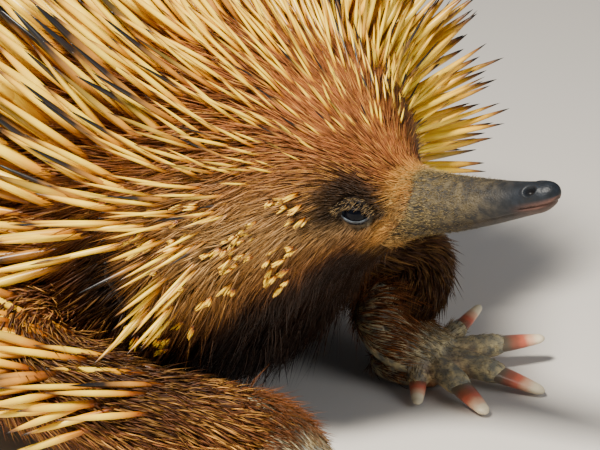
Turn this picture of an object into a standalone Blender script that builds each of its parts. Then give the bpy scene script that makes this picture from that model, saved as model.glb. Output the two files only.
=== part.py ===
"""A short-beaked echidna at life size, as a still museum model that stands on its four feet.

The torso, neck, head and beak are lengths of one swept body whose back line turns to the animal's left.
Spines are fused to the length that they grow from. Every piece keeps a thin gap to its neighbours.
Metres, +X to the front of the trunk, +Y to the animal's left, +Z up; the floor is at z = 0.
"""

import math

import bmesh
import bpy
import numpy as np
from mathutils import Vector
from mathutils.bvhtree import BVHTree

MM = 0.001
GAP = 0.3 * MM  # between any two nodes that touch
SEED = 11

# The outline of the body along its back line. Each row has a name for the place, then in millimetres
# the distance from the rump, half the width, and the heights of the back and of the underside.
OUTLINE = (
    ("rump", 0, 54, 130, 34),
    ("haunch", 40, 70, 145, 24),
    ("loin", 95, 84, 157, 18),
    ("ribs", 145, 87, 159, 17),
    ("shoulder", 195, 84, 158, 18),
    ("neck", 235, 76, 155.5, 19),
    ("ear", 262, 65, 151.5, 31),
    ("nape", 285, 50, 144, 53),
    ("brow", 303, 33.5, 132, 71),
    ("eye", 317, 18.5, 119.5, 81.5),
    ("beak_root", 330, 11.8, 112, 88.3),
)
RUMP_ROUND = 42 * MM  # length over which the rump closes like the end of an egg
SIDE_LEVEL = 0.42  # height of the widest line, as a share of the body's height
HEAD_TURN = math.radians(25)  # of the head to the animal's left
TURN_START, TURN_END = 170 * MM, 285 * MM
TRUNK_X0 = -150 * MM  # where the rump lies

TORSO_END = 200 * MM
NECK_END = 236 * MM
HEAD_END = 326 * MM

BEAK_LENGTH = 60 * MM
BEAK_PITCH = math.radians(16)  # the beak is raised by this angle
BEAK_PROFILE = ((0, 12.3), (0.1, 11.0), (0.5, 8.2), (0.85, 5.6), (1, 4.9))  # share of its length, radius in mm
BEAK_TIP_RADIUS = 5.2 * MM
BEAK_TIP_ROUND = 6 * MM
BEAK_SAG = 1.6 * MM  # of the beak's middle under the line from its root to its tip
BEAK_RINGS = 11
NOSTRIL_SIZE = (1.9 * MM, 1.5 * MM, 2.6 * MM)  # half length, half width, depth
NOSTRIL_BACK = 8.5 * MM  # from the tip
NOSTRIL_TILT = math.radians(46)  # from the top of the beak down its side
NOSTRIL_SLANT = math.radians(18)  # of its long way, falling to the tip
MOUTH_DEPTH = 13 * MM
MOUTH_DROP = 2 * MM  # of the mouth's line under the beak's middle line
MOUTH_SLIT = (0.35 * MM, 0.7 * MM)  # its height at its corner and at the tip

EYE_AT = 317 * MM
EYE_ANGLE = math.radians(84.7)  # from the back line down the side
EYE_RADIUS = 4.8 * MM
EYE_SINK = 3.4 * MM  # of the eye's centre under the coat
LID_SIZE = (8.0 * MM, 6.6 * MM, 6.3 * MM)  # half length, half height, half depth
LID_OPENING = (5.2 * MM, 2.3 * MM, 3.8 * MM)

EAR_AT = 257 * MM
EAR_ANGLE = math.radians(99)
EAR_SIZE = (5.2 * MM, 12.0 * MM, 8.0 * MM)  # half width, half height, depth
EAR_WALL = 1.3 * MM
EAR_RIM = 1.6 * MM  # how far the cup stands out of the coat

TAIL_ROOT = (10 * MM, 78 * MM)  # from the rump, and above the floor
TAIL_LENGTH = 52 * MM  # from that root, inside the rump
TAIL_RADII = (21 * MM, 8 * MM)
TAIL_DROOP = math.radians(28)

BODY_SIDES = 28
BEAK_SIDES = 16
LIMB_SIDES = 12
DIGIT_SIDES = 8
SPINE_SIDES = 3

# Spines: least distance between their roots, by the length of the body that they grow from
SPINE_SPACING = {"torso": 11.6 * MM, "neck": 10.2 * MM, "head": 9.6 * MM}
SPINE_SINK = 5 * MM
SPINE_WIDEST = 0.4  # share of its length at which a spine is widest
SPINE_SCATTER = 0.06  # spread of the directions of neighbouring spines
LAST_SPINES = 312 * MM  # how far along the back line spines grow
# Each row has the distance from the rump in millimetres, then the value there
SPINE_LENGTHS = ((0, 36), (60, 46), (150, 52), (205, 51), (240, 47), (262, 38), (285, 23), (312, 9))  # mm
SPINE_RADII = ((0, 2.0), (150, 2.3), (215, 2.2), (250, 2.0), (275, 1.5), (312, 0.7))  # mm
# Lean from the surface's normal towards the rump, in degrees
SPINE_LEANS = ((0, 20), (60, 44), (150, 52), (210, 50), (245, 50), (270, 56), (300, 62))
# How far down the side spines grow, in degrees from the back line
SPINE_LIMITS = (
    (0, 150), (40, 122), (100, 118), (170, 122), (215, 128),
    (245, 130), (265, 116), (285, 84), (300, 60), (312, 36),
)
EDGE_SHORTER, EDGE_THINNER = 0.3, 0.2  # how much smaller spines are at that limit
# The ruff, at the inner side of the turn, where the coat bunches and its spines stand out beside the head
RUFF_LENGTH = 52 * MM
RUFF_START, RUFF_FULL, RUFF_LAST = 185 * MM, 225 * MM, 290 * MM
RUFF_ANGLES = (0.35, 0.95)  # from the back line to the left, where it begins and where it is full
RUFF_RISE = 1.15
TAIL_SPINES = 24
TAIL_SPINE_LENGTHS = (22 * MM, 32 * MM)
TAIL_SPINE_RADIUS = 1.7 * MM
FLOOR_ROOM = 4 * MM  # spines keep this far above the floor
SPINE_ROOM = 0.7 * MM  # and this far from other pieces
EYE_CLEAR, EAR_CLEAR = 14 * MM, 13 * MM  # no spines grow nearer than this to an eye or an ear

SHARPEST = math.radians(40)  # edges that bend more than this are shaded sharp
COAT = dict(color=(0.17, 0.085, 0.04), roughness=0.85)
SKIN = dict(color=(0.13, 0.11, 0.10), roughness=0.6)
PAW = dict(color=(0.17, 0.15, 0.11), roughness=0.7)
HORN = dict(color=(0.72, 0.55, 0.42), roughness=0.4)
DARK_EYE = dict(color=(0.01, 0.012, 0.016), roughness=0.08)


def clear_scene():
    for obj in list(bpy.data.objects):
        bpy.data.objects.remove(obj)


def material(name, color, roughness):
    made = bpy.data.materials.new(name)
    made.use_nodes = True
    shader = made.node_tree.nodes["Principled BSDF"]
    shader.inputs["Base Color"].default_value = (*color, 1)
    shader.inputs["Roughness"].default_value = roughness
    shader.inputs["Metallic"].default_value = 0
    return made


def smooth_curve(knots, values, at):
    """A curve through the knots with no overshoot: cubics whose slopes are the harmonic mean of the chords'."""
    knots, values = np.asarray(knots, float), np.asarray(values, float)
    at = np.clip(at, knots[0], knots[-1])
    step = np.diff(knots)
    chord = np.diff(values) / step
    slope = np.zeros(len(knots))
    same = chord[:-1] * chord[1:] > 0
    total = np.where(same, chord[:-1] + chord[1:], 1)
    slope[1:-1] = np.where(same, 2 * chord[:-1] * chord[1:] / total, 0)
    slope[0], slope[-1] = chord[0], chord[-1]
    i = np.clip(np.searchsorted(knots, at, side="right") - 1, 0, len(step) - 1)
    t = (at - knots[i]) / step[i]
    a, b, h = values[i], values[i + 1], step[i]
    rise = t * t * (3 - 2 * t)
    return (
        a * (1 - rise)
        + b * rise
        + h * slope[i] * t * (1 - t) ** 2
        - h * slope[i + 1] * t * t * (1 - t)
    )


def ease(t):
    t = np.clip(t, 0, 1)
    return t * t * (3 - 2 * t)


def by_station(rows, s):
    """The value of a table of rows (distance in millimetres, value) at s."""
    knots, values = zip(*rows)
    return smooth_curve(np.array(knots) * MM, values, s)


STATION = np.array([row[1] for row in OUTLINE]) * MM
HALF_WIDTH = np.array([row[2] for row in OUTLINE]) * MM
BACK_HEIGHT = np.array([row[3] for row in OUTLINE]) * MM
BELLY_HEIGHT = np.array([row[4] for row in OUTLINE]) * MM

# Where the rings of each length of the body lie; they are closer where the rump curves in
FIRST_RING = 0.4 * MM
TORSO_RINGS = FIRST_RING + (TORSO_END - FIRST_RING) * np.linspace(0, 1, 15) ** 1.5
NECK_RINGS = np.linspace(TORSO_END + GAP, NECK_END, 4)
HEAD_RINGS = np.linspace(NECK_END + GAP, HEAD_END, 10)


def heading(s):
    """Direction of the back line in plan, as an angle from +X."""
    return HEAD_TURN * ease((s - TURN_START) / (TURN_END - TURN_START))


# The back line in plan, added up from its heading in steps of 1 mm
PLAN_S = np.arange(0, 420) * MM
PLAN_HEADING = heading(PLAN_S)
PLAN_X = TRUNK_X0 + np.concatenate([[0], np.cumsum(np.cos(PLAN_HEADING[:-1])) * MM])
PLAN_Y = np.concatenate([[0], np.cumsum(np.sin(PLAN_HEADING[:-1])) * MM])


def body_point(s, angle, grow=0.0):
    """Where the coat's surface is: s along the back line, angle from the back line, positive to the left."""
    s, angle = np.asarray(s, float), np.asarray(angle, float)
    half = smooth_curve(STATION, HALF_WIDTH, s)
    top = smooth_curve(STATION, BACK_HEIGHT, s)
    under = smooth_curve(STATION, BELLY_HEIGHT, s)
    level = under + SIDE_LEVEL * (top - under)
    round_off = np.sqrt(
        np.clip(1 - (1 - np.clip(s / RUMP_ROUND, 0, 1)) ** 2, 1e-6, 1)
    )
    side = (half * round_off + grow) * np.sin(angle)
    reach = np.where(np.cos(angle) > 0, top - level, level - under)
    up = (reach * round_off + grow) * np.cos(angle)
    turn = heading(s)
    x = np.interp(s, PLAN_S, PLAN_X) - np.sin(turn) * side
    y = np.interp(s, PLAN_S, PLAN_Y) + np.cos(turn) * side
    return np.stack(np.broadcast_arrays(x, y, level + up), -1)


def body_frame(s, angle):
    """The point, the outward normal and the direction towards the rump along the surface."""
    step = 0.5 * MM
    turn = 0.01
    point = body_point(s, angle)
    rearward = body_point(s - step, angle) - body_point(s + step, angle)
    around = body_point(s, angle + turn) - body_point(s, angle - turn)
    rearward /= np.linalg.norm(rearward, axis=-1, keepdims=True)
    normal = np.cross(around, rearward)
    normal /= np.linalg.norm(normal, axis=-1, keepdims=True)
    return point, normal, rearward


def along_head(s, side, up):
    """A point by its distance along the back line, to the left of it and above the floor."""
    turn = heading(s)
    x = np.interp(s, PLAN_S, PLAN_X) - math.sin(turn) * side
    y = np.interp(s, PLAN_S, PLAN_Y) + math.cos(turn) * side
    return np.array((x, y, up))


def solid_from_rings(name, rings, looks):
    """A closed solid through rings of points, with a fan at each end, as an object of its own."""
    mesh = bpy.data.meshes.new(name)
    bm = bmesh.new()
    loops = [[bm.verts.new(Vector(p)) for p in ring] for ring in rings]
    for ring, following in zip(loops, loops[1:]):
        for k in range(len(ring)):
            after = (k + 1) % len(ring)
            bm.faces.new((ring[k], ring[after], following[after], following[k]))
    for ring in (loops[0], loops[-1]):
        middle = bm.verts.new(sum((v.co for v in ring), Vector()) / len(ring))
        for k in range(len(ring)):
            bm.faces.new((ring[k], middle, ring[(k + 1) % len(ring)]))
    bmesh.ops.triangulate(bm, faces=bm.faces)
    bmesh.ops.recalc_face_normals(bm, faces=bm.faces)
    bm.to_mesh(mesh)
    bm.free()
    obj = bpy.data.objects.new(name, mesh)
    bpy.context.scene.collection.objects.link(obj)
    obj.data.materials.append(material(name, **looks))
    return obj


def body_rings(stations, grow=0.0):
    angles = np.linspace(0, 2 * math.pi, BODY_SIDES, endpoint=False)
    return [body_point(s, angles, grow) for s in stations]


def body_length(name, stations):
    """A length of the body, through rings at the given distances along its back line."""
    return solid_from_rings(name, body_rings(stations), COAT)


def turned(first, second, angle):
    """The direction at an angle from the first direction towards the second."""
    return math.cos(angle) * first + math.sin(angle) * second


def body_cutter():
    """The whole body and a gap more, to take out of what is set against it."""
    rings = body_rings(np.concatenate((TORSO_RINGS, NECK_RINGS, HEAD_RINGS)), GAP)
    rings[0][:, 0] -= GAP
    return solid_from_rings("body_cutter", rings, COAT)


def bezier(controls, count):
    """Points along the Bezier curve of any number of control points."""
    t = np.linspace(0, 1, count)[:, None]
    order = len(controls) - 1
    return sum(
        math.comb(order, k) * (1 - t) ** (order - k) * t**k * np.asarray(c)
        for k, c in enumerate(controls)
    )


def limb_rings(path, half_a, half_b, ref, sides):
    """Oval rings round a path: half_a lies along ref, made square to the path, and half_b across both."""
    path = np.asarray(path, float)
    along = np.gradient(path, axis=0)
    along /= np.linalg.norm(along, axis=1, keepdims=True)
    first = ref - (along @ ref)[:, None] * along
    first /= np.linalg.norm(first, axis=1, keepdims=True)
    second = np.cross(along, first)
    angles = np.linspace(0, 2 * math.pi, sides, endpoint=False)
    half_a, half_b = np.broadcast_to(half_a, len(path)), np.broadcast_to(half_b, len(path))
    return (
        path[:, None]
        + (half_a[:, None] * np.cos(angles))[..., None] * first[:, None]
        + (half_b[:, None] * np.sin(angles))[..., None] * second[:, None]
    )


def ellipsoid(name, centre, axes, sizes, looks, rings=10, sides=16):
    """An ellipsoid with its half sizes along three directions."""
    bands = np.linspace(0.02, math.pi - 0.02, rings)
    angles = np.linspace(0, 2 * math.pi, sides, endpoint=False)
    a, b, c = (np.asarray(axis, float) * size for axis, size in zip(axes, sizes))
    shape = [
        centre
        + math.cos(band) * c
        + math.sin(band) * (np.cos(angles)[:, None] * a + np.sin(angles)[:, None] * b)
        for band in bands
    ]
    return solid_from_rings(name, shape, looks)


def apply_modifiers(obj):
    graph = bpy.context.evaluated_depsgraph_get()
    made = bpy.data.meshes.new_from_object(obj.evaluated_get(graph))
    old = obj.data
    obj.modifiers.clear()
    obj.data = made
    bpy.data.meshes.remove(old)


def cut(obj, *cutters):
    """Takes the cutters out of obj, and removes them."""
    for cutter in cutters:
        boolean = obj.modifiers.new("cut", "BOOLEAN")
        boolean.operation = "DIFFERENCE"
        boolean.object = cutter
    bpy.context.view_layer.update()
    apply_modifiers(obj)
    for cutter in cutters:
        bpy.data.objects.remove(cutter)


def fuse(obj, pieces, solver="EXACT"):
    """Joins the pieces to obj as one closed body, and removes them."""
    if not pieces:
        return
    group = bpy.data.collections.new(obj.name + "_pieces")
    bpy.context.scene.collection.children.link(group)
    for piece in pieces:
        bpy.context.scene.collection.objects.unlink(piece)
        group.objects.link(piece)
    boolean = obj.modifiers.new("fuse", "BOOLEAN")
    boolean.operation = "UNION"
    boolean.operand_type = "COLLECTION"
    boolean.collection = group
    boolean.solver = solver
    bpy.context.view_layer.update()
    apply_modifiers(obj)
    for piece in pieces:
        bpy.data.objects.remove(piece)
    bpy.data.collections.remove(group)


def keep_largest_surface(obj):
    """Drops every closed surface of a node but the largest, such as a hollow that fusing has sealed."""
    bm = bmesh.new()
    bm.from_mesh(obj.data)
    bmesh.ops.triangulate(bm, faces=bm.faces)
    left, groups = set(bm.faces), []
    while left:
        stack = [left.pop()]
        group = set(stack)
        while stack:
            for edge in stack.pop().edges:
                for face in edge.link_faces:
                    if face in left:
                        left.remove(face)
                        group.add(face)
                        stack.append(face)
        groups.append(group)
    groups.sort(key=lambda g: sum(f.calc_area() for f in g))
    scraps = [face for group in groups[:-1] for face in group]
    bmesh.ops.delete(bm, geom=scraps, context="FACES")
    loose = [v for v in bm.verts if not v.link_faces]
    bmesh.ops.delete(bm, geom=loose, context="VERTS")
    bm.to_mesh(obj.data)
    bm.free()


def tree_of(obj):
    bm = bmesh.new()
    bm.from_mesh(obj.data)
    tree = BVHTree.FromBMesh(bm)
    bm.free()
    return tree


SQUARE = ((-1, -1), (1, -1), (1, 1), (-1, 1))


def make_beak():
    """The bare beak: a tapered tube with a round tip, two nostrils and the slit of the mouth."""
    start = HEAD_END + GAP
    tip = start + BEAK_LENGTH
    share = np.linspace(0, 1, BEAK_RINGS) ** 0.8
    stations = start + (BEAK_LENGTH - FIRST_RING) * share
    t = (stations - start) / BEAK_LENGTH
    shares, radii = zip(*BEAK_PROFILE)
    radius = smooth_curve(shares, np.array(radii) * MM, t)
    near_tip = np.clip((tip - stations) / BEAK_TIP_ROUND, 0, 1)
    radius = radius * np.sqrt(1 - (1 - near_tip) ** 2)
    angles = np.linspace(0, 2 * math.pi, BEAK_SIDES, endpoint=False)
    rings = []
    for s, r, share_of_beak in zip(stations, radius, t):
        level = beak_level(share_of_beak)
        side, up = r * np.sin(angles), r * np.cos(angles)
        rings.append([along_head(s, a, level + b) for a, b in zip(side, up)])
    beak = solid_from_rings("beak", rings, SKIN)

    forward = np.array((math.cos(HEAD_TURN), math.sin(HEAD_TURN), 0))
    left = np.array((-math.sin(HEAD_TURN), math.cos(HEAD_TURN), 0))
    up = np.array((0, 0, 1.0))
    cutters = []
    nostril_at = along_head(tip - NOSTRIL_BACK, 0, beak_level(1 - NOSTRIL_BACK / BEAK_LENGTH))
    for side in (-1, 1):
        out = turned(up, left * side, NOSTRIL_TILT)
        slant = turned(forward, np.cross(left, out) * side, NOSTRIL_SLANT)
        slant -= out * (slant @ out)
        slant /= np.linalg.norm(slant)
        place = nostril_at + out * BEAK_TIP_RADIUS
        axes = (slant, np.cross(out, slant), out)
        cutters.append(ellipsoid("nostril_cutter", place, axes, NOSTRIL_SIZE, SKIN, rings=6, sides=8))
    corner = along_head(tip - MOUTH_DEPTH, 0, beak_level(1) - MOUTH_DROP)
    rings = []
    for reach, height in zip((0, MOUTH_DEPTH + BEAK_TIP_ROUND), MOUTH_SLIT):
        middle = corner + forward * reach
        wide = BEAK_TIP_RADIUS * 1.6
        rings.append([middle + left * a * wide + up * b * height / 2 for a, b in SQUARE])
    cutters.append(solid_from_rings("mouth_cutter", rings, SKIN))
    cut(beak, *cutters)
    return beak


def beak_level(share):
    """Height of the beak's middle line at a share of its length."""
    top = smooth_curve(STATION, BACK_HEIGHT, HEAD_END)
    under = smooth_curve(STATION, BELLY_HEIGHT, HEAD_END)
    rise = BEAK_LENGTH * math.tan(BEAK_PITCH) * share
    return (top + under) / 2 + rise - BEAK_SAG * math.sin(math.pi * share)


def eye_frame(side):
    """The eye's centre and the directions outward, forward and up on the head, for side -1 right or 1 left."""
    point, normal, rearward = body_frame(np.float64(EYE_AT), np.float64(EYE_ANGLE * side))
    forward = -rearward
    up = np.cross(forward, normal) * -side
    up = up if up[2] > 0 else -up
    return point - normal * EYE_SINK, normal, forward, up


def make_eye(side, name, head):
    """The eyeball, its socket in the head, and the two lids round an almond opening."""
    centre, out, forward, up = eye_frame(side)
    axes = (forward, up, out)
    lids = ellipsoid("lids", centre, axes, LID_SIZE, SKIN, 9, 14)
    fuse(head, [lids])
    socket = ellipsoid("socket", centre, axes, (EYE_RADIUS + GAP,) * 3, SKIN, 8, 12)
    opening = ellipsoid("opening", centre + out * EYE_RADIUS, axes, LID_OPENING, SKIN, 6, 12)
    cut(head, socket, opening)
    return ellipsoid(name, centre, axes, (EYE_RADIUS,) * 3, DARK_EYE, 8, 12)


def make_ear(side, name, head):
    """The cup of the ear: an upright slit with a low rim, set in a hollow of the head."""
    point, out, rearward = body_frame(np.float64(EAR_AT), np.float64(EAR_ANGLE * side))
    up = np.cross(out, rearward)
    up = up if up[2] > 0 else -up
    axes = (rearward, up, out)
    size = np.array(EAR_SIZE)
    cut(head, ellipsoid("hollow", point, axes, size + GAP, SKIN, 8, 12))
    cup = ellipsoid(name, point, axes, size, SKIN, 8, 12)
    inner = ellipsoid("inner", point + out * EAR_RIM / 2, axes, size - EAR_WALL, SKIN, 7, 10)
    wide = 2 * size.max()
    rings = [
        [point + out * level + (rearward * a + up * b) * wide for a, b in SQUARE]
        for level in (EAR_RIM, wide)
    ]
    cut(cup, inner, solid_from_rings("trim", rings, SKIN))
    return cup


def tail_frame():
    """The tail's root, inside the rump, its direction, and the direction square to that at its top."""
    root = along_head(TAIL_ROOT[0], 0, TAIL_ROOT[1])
    away = np.array((-math.cos(TAIL_DROOP), 0, -math.sin(TAIL_DROOP)))
    top = np.array((-math.sin(TAIL_DROOP), 0, math.cos(TAIL_DROOP)))
    return root, away, top


def tail_radius(share):
    """The tail narrows along its length and closes round over its last quarter."""
    radius = TAIL_RADII[0] + (TAIL_RADII[1] - TAIL_RADII[0]) * share
    return radius * np.sqrt(np.clip(1 - np.clip((share - 0.72) / 0.3, 0, 1) ** 2, 0.02, 1))


def make_tail():
    """The short blunt tail, set against the rump."""
    root, away, _ = tail_frame()
    share = np.linspace(0, 1, 7)
    radius = tail_radius(share)
    rings = limb_rings(
        root + away * TAIL_LENGTH * share[:, None], radius, radius * 0.9, np.array((0, 1.0, 0)), LIMB_SIDES
    )
    tail = solid_from_rings("tail", rings, COAT)
    cut(tail, body_cutter())
    keep_largest_surface(tail)
    return tail


# The limbs, by name: the path's control points, half sizes fore and aft and across at its start and end, in
# millimetres. Paths start inside the body and end at the wrist or ankle.
LIMBS = {
    "foreleg_right": (((64, -40, 56), (84, -98, 47), (130, -80, 32), (154, -8, 22)), (34, 19), (25, 14)),
    "foreleg_left": (((52, 40, 54), (56, 98, 46), (62, 106, 30), (82, 75, 22)), (30, 17), (22, 12)),
    "hindleg_right": (((-66, -36, 70), (-58, -100, 70), (-68, -110, 34), (-84, -98, 22)), (34, 15), (25, 12)),
    "hindleg_left": (((-66, 36, 70), (-58, 100, 70), (-68, 110, 34), (-84, 98, 22)), (34, 15), (25, 12)),
}
LIMB_RINGS = 12

# Digits by place on the foot: turn from the foot's own direction towards its outer side in degrees, then in
# millimetres the length of the toe, length and half width of the claw, and height of the claw's tip
FORE_DIGITS = (
    (-68, 13, 10, 3.3, 0),
    (-35, 23, 15, 4.3, 0),
    (0, 26, 16, 4.5, 0),
    (35, 25, 15, 4.4, 9),
    (70, 16, 10, 3.3, 16),
)
HIND_DIGITS = (
    (-46, 9, 9, 2.6, 0),
    (-20, 15, 38, 2.7, 0),
    (2, 14, 27, 2.6, 0),
    (24, 13, 18, 2.5, 0),
    (48, 10, 12, 2.4, 0),
)
DIGIT_NAMES = ("first", "second", "third", "fourth", "fifth")
# Each foot: its leg, direction in degrees, outer side (-1 right, 1 left), digits, and half width, length and
# half height in millimetres
FEET = {
    "forefoot_right": ("foreleg_right", 32, -1, FORE_DIGITS, (17, 20, 10)),
    "forefoot_left": ("foreleg_left", 40, 1, FORE_DIGITS, (17, 20, 10)),
    "hindfoot_right": ("hindleg_right", -128, -1, HIND_DIGITS, (15, 26, 10)),
    "hindfoot_left": ("hindleg_left", 128, 1, HIND_DIGITS, (15, 26, 10)),
}
WRIST = 11 * MM  # half width of a foot where it meets the leg
HEEL_AHEAD = 4 * MM  # of the heel before the end of the leg
INSTEP = (6 * MM, 12 * MM)  # ahead of the heel, and above the floor
PAD_BACK, PAD_FRONT, PAD_HIGH = 6 * MM, 4 * MM, 7 * MM
PAD_ROUND = (0.5, 0.9, 1, 0.9, 0.5)  # width of the pad from heel to ball
FOOT_RINGS = 6
TOE_RINGS = 4
TOE_FLESH = 1.6 * MM  # how much thicker a toe is than its claw, at its root
CLAW_TAPER = (1, 1, 0.95, 0.84, 0.55)  # width from root to tip
CLAW_FLAT = 0.58  # thickness of a claw, as a share of its width
CLAW_FLOOR = 0.6 * MM  # claws end this far above the floor


def limb_path(name):
    return bezier(np.array(LIMBS[name][0]) * MM, LIMB_RINGS)


def limb_solid(name, limb, grow=0.0):
    """A leg from inside the body to the wrist or ankle."""
    _, fore_aft, across = LIMBS[limb]
    path = limb_path(limb)
    share = np.linspace(0, 1, len(path))
    half_a = (fore_aft[0] + (fore_aft[1] - fore_aft[0]) * share**0.8) * MM + grow
    half_b = (across[0] + (across[1] - across[0]) * share**0.8) * MM + grow
    along = path[-1] - path[-2]
    path[-1] += along / np.linalg.norm(along) * grow
    rings = limb_rings(path, half_a, half_b, np.array((1.0, 0, 0)), LIMB_SIDES)
    return solid_from_rings(name, rings, COAT)


def make_limb(name):
    """A leg, cut where it meets the body."""
    limb = limb_solid(name, name)
    cut(limb, body_cutter())
    keep_largest_surface(limb)
    return limb


def kept_above(rings, level=0.0):
    """Flattens what would reach below a level."""
    rings = np.array(rings)
    rings[..., 2] = np.maximum(rings[..., 2], level)
    return rings


def level_direction(angle):
    return np.array((math.cos(angle), math.sin(angle), 0))


def make_palm(name, limb, forward, across, size):
    """The foot from the end of the leg to the ball, and the pad under it. Returns both, and the heel."""
    half_width, length, half_height = np.array(size) * MM
    before, ankle = limb_path(limb)[-2:]
    toward = (ankle - before) / np.linalg.norm(ankle - before)
    heel = ankle * (1, 1, 0) + forward * HEEL_AHEAD
    start = ankle + toward * GAP
    instep = heel + forward * INSTEP[0] + np.array((0, 0, INSTEP[1]))
    ball = heel + forward * length + np.array((0, 0, half_height * 0.75))
    path = bezier((start, start + toward * 10 * MM, instep, ball), FOOT_RINGS)
    share = np.linspace(0, 1, FOOT_RINGS)
    half_a = WRIST + (half_width - WRIST) * ease(share * 1.5) - 0.24 * half_width * share**6
    half_b = WRIST + (0.75 * half_height - WRIST) * share
    rings = limb_rings(path, half_a, half_b, across, LIMB_SIDES)
    foot = solid_from_rings(name, kept_above(rings), PAW)
    reach = np.linspace(-PAD_BACK, length + PAD_FRONT, len(PAD_ROUND))
    path = heel + forward * reach[:, None] + np.array((0, 0, PAD_HIGH - 2 * MM))
    rings = limb_rings(path, half_width * np.array(PAD_ROUND), PAD_HIGH, across, LIMB_SIDES)
    return foot, solid_from_rings("pad", kept_above(rings), PAW), heel


def make_digit(name, knuckle, away, toe, claw, half, lift):
    """One toe, which arches from its knuckle, and its blunt claw, whose tip is held at the given height."""
    across = np.cross((0, 0, 1.0), away)
    upward = np.array((0, 0, 1.0))
    thick, nail = half + TOE_FLESH, half * CLAW_FLAT
    root = knuckle + upward * thick
    arch = knuckle + away * toe / 2 + upward * (thick + 3.2 * MM)
    end = knuckle + away * (toe + 2 * MM) + upward * (thick * 0.62 + 1.6 * MM + lift / 2)
    path = bezier((root, arch, end), TOE_RINGS)
    half_a = np.linspace(thick, half + 0.7 * MM, TOE_RINGS)
    half_b = np.linspace(thick, nail + 1.1 * MM, TOE_RINGS)
    flesh = solid_from_rings("toe", kept_above(limb_rings(path, half_a, half_b, across, DIGIT_SIDES)), PAW)
    slope = (path[-1] - path[-2]) / np.linalg.norm(path[-1] - path[-2])
    tip = end + away * claw
    tip[2] = lift + CLAW_FLOOR + nail * CLAW_TAPER[-1]
    path = bezier((end + slope * GAP, end + slope * claw * 0.45, tip), len(CLAW_TAPER))
    taper = np.array(CLAW_TAPER)
    rings = limb_rings(path, half * taper, nail * taper, across, DIGIT_SIDES)
    return flesh, solid_from_rings(name, kept_above(rings, CLAW_FLOOR), HORN)


def make_foot(name):
    """The foot with its toes as one solid, and each claw as a solid of its own."""
    limb, yaw, side, digits, size = FEET[name]
    yaw = math.radians(yaw)
    forward = level_direction(yaw)
    across = np.cross((0, 0, 1.0), forward)
    foot, pad, heel = make_palm(name, limb, forward, across, size)
    pieces, claws = [pad], []
    for (turn, *sizes), digit in zip(digits, DIGIT_NAMES):
        away = level_direction(yaw + side * math.radians(turn))
        knuckle = heel + forward * size[1] * 0.55 * MM + away * 6 * MM
        toe, claw, half, lift = np.array(sizes) * MM
        flesh, nail = make_digit(f"claw_{name}_{digit}", knuckle, away, toe, claw, half, lift)
        pieces.append(flesh)
        claws.append(nail)
    fuse(foot, pieces)
    cut(foot, limb_solid("leg_cutter", limb, GAP))
    keep_largest_surface(foot)
    return foot, claws


def spine_size(s, angle):
    """Length and radius of a spine by its place: slender on the crown, long and stout over the back."""
    length = by_station(SPINE_LENGTHS, s) * MM
    radius = by_station(SPINE_RADII, s) * MM
    length += (RUFF_LENGTH - length) * ruff(s, angle)
    edge = np.clip(np.abs(angle) / spine_limit(s), 0, 1) ** 3
    return length * (1 - EDGE_SHORTER * edge), radius * (1 - EDGE_THINNER * edge)


def ruff(s, angle):
    """From 0 to 1 at the inner side of the turn."""
    start = ease((s - RUFF_START) / (RUFF_FULL - RUFF_START))
    end = np.clip((RUFF_LAST - s) / (RUFF_LAST - TORSO_END) * 1.8, 0, 1)
    low, high = RUFF_ANGLES
    return start * end * ease((angle - low) / (high - low))


def spine_limit(s):
    """How far down the side spines grow, as an angle from the back line."""
    return np.radians(by_station(SPINE_LIMITS, s))


def spine_lean(s, angle):
    """Angle of a spine from the surface's normal towards the rump."""
    return np.radians(by_station(SPINE_LEANS, s) * (1 - RUFF_RISE * ruff(s, angle)))


def spine_roots(start, end, spacing, rng):
    """Roots scattered with at least the given spacing between any two, evenly over the surface."""
    chosen, places = [], []
    for _ in range(9000):
        s = start + (end - start) * rng.random()
        angle = (2 * rng.random() - 1) * spine_limit(s)
        weight = smooth_curve(STATION, HALF_WIDTH, s) / HALF_WIDTH.max()
        if rng.random() > weight:
            continue
        point = body_point(s, angle)
        if places and np.min(np.linalg.norm(np.array(places) - point, axis=1)) < spacing:
            continue
        places.append(point)
        chosen.append((s, float(angle)))
    return chosen


def spine_solid(root, direction, length, radius, roll):
    """A three-sided spine that swells to its widest before it tapers to a point."""
    side = np.cross(direction, (0, 0, 1.0) if abs(direction[2]) < 0.9 else (1.0, 0, 0))
    side /= np.linalg.norm(side)
    other = np.cross(direction, side)
    angles = roll + np.linspace(0, 2 * math.pi, SPINE_SIDES, endpoint=False)
    across = np.cos(angles)[:, None] * side + np.sin(angles)[:, None] * other
    mesh = bpy.data.meshes.new("spine")
    rings = [
        root - direction * SPINE_SINK + across * radius * 0.9,
        root + direction * length * SPINE_WIDEST + across * radius,
    ]
    tip = root + direction * length
    points = [*rings[0], *rings[1], tip]
    n = SPINE_SIDES
    faces = [tuple(reversed(range(n)))]
    for k in range(n):
        after = (k + 1) % n
        faces.append((k, after, n + after, n + k))
        faces.append((n + k, n + after, 2 * n))
    mesh.from_pydata([tuple(p) for p in points], [], faces)
    bm = bmesh.new()
    bm.from_mesh(mesh)
    bmesh.ops.recalc_face_normals(bm, faces=bm.faces)
    bm.to_mesh(mesh)
    bm.free()
    obj = bpy.data.objects.new("spine", mesh)
    bpy.context.scene.collection.objects.link(obj)
    return obj


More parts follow.
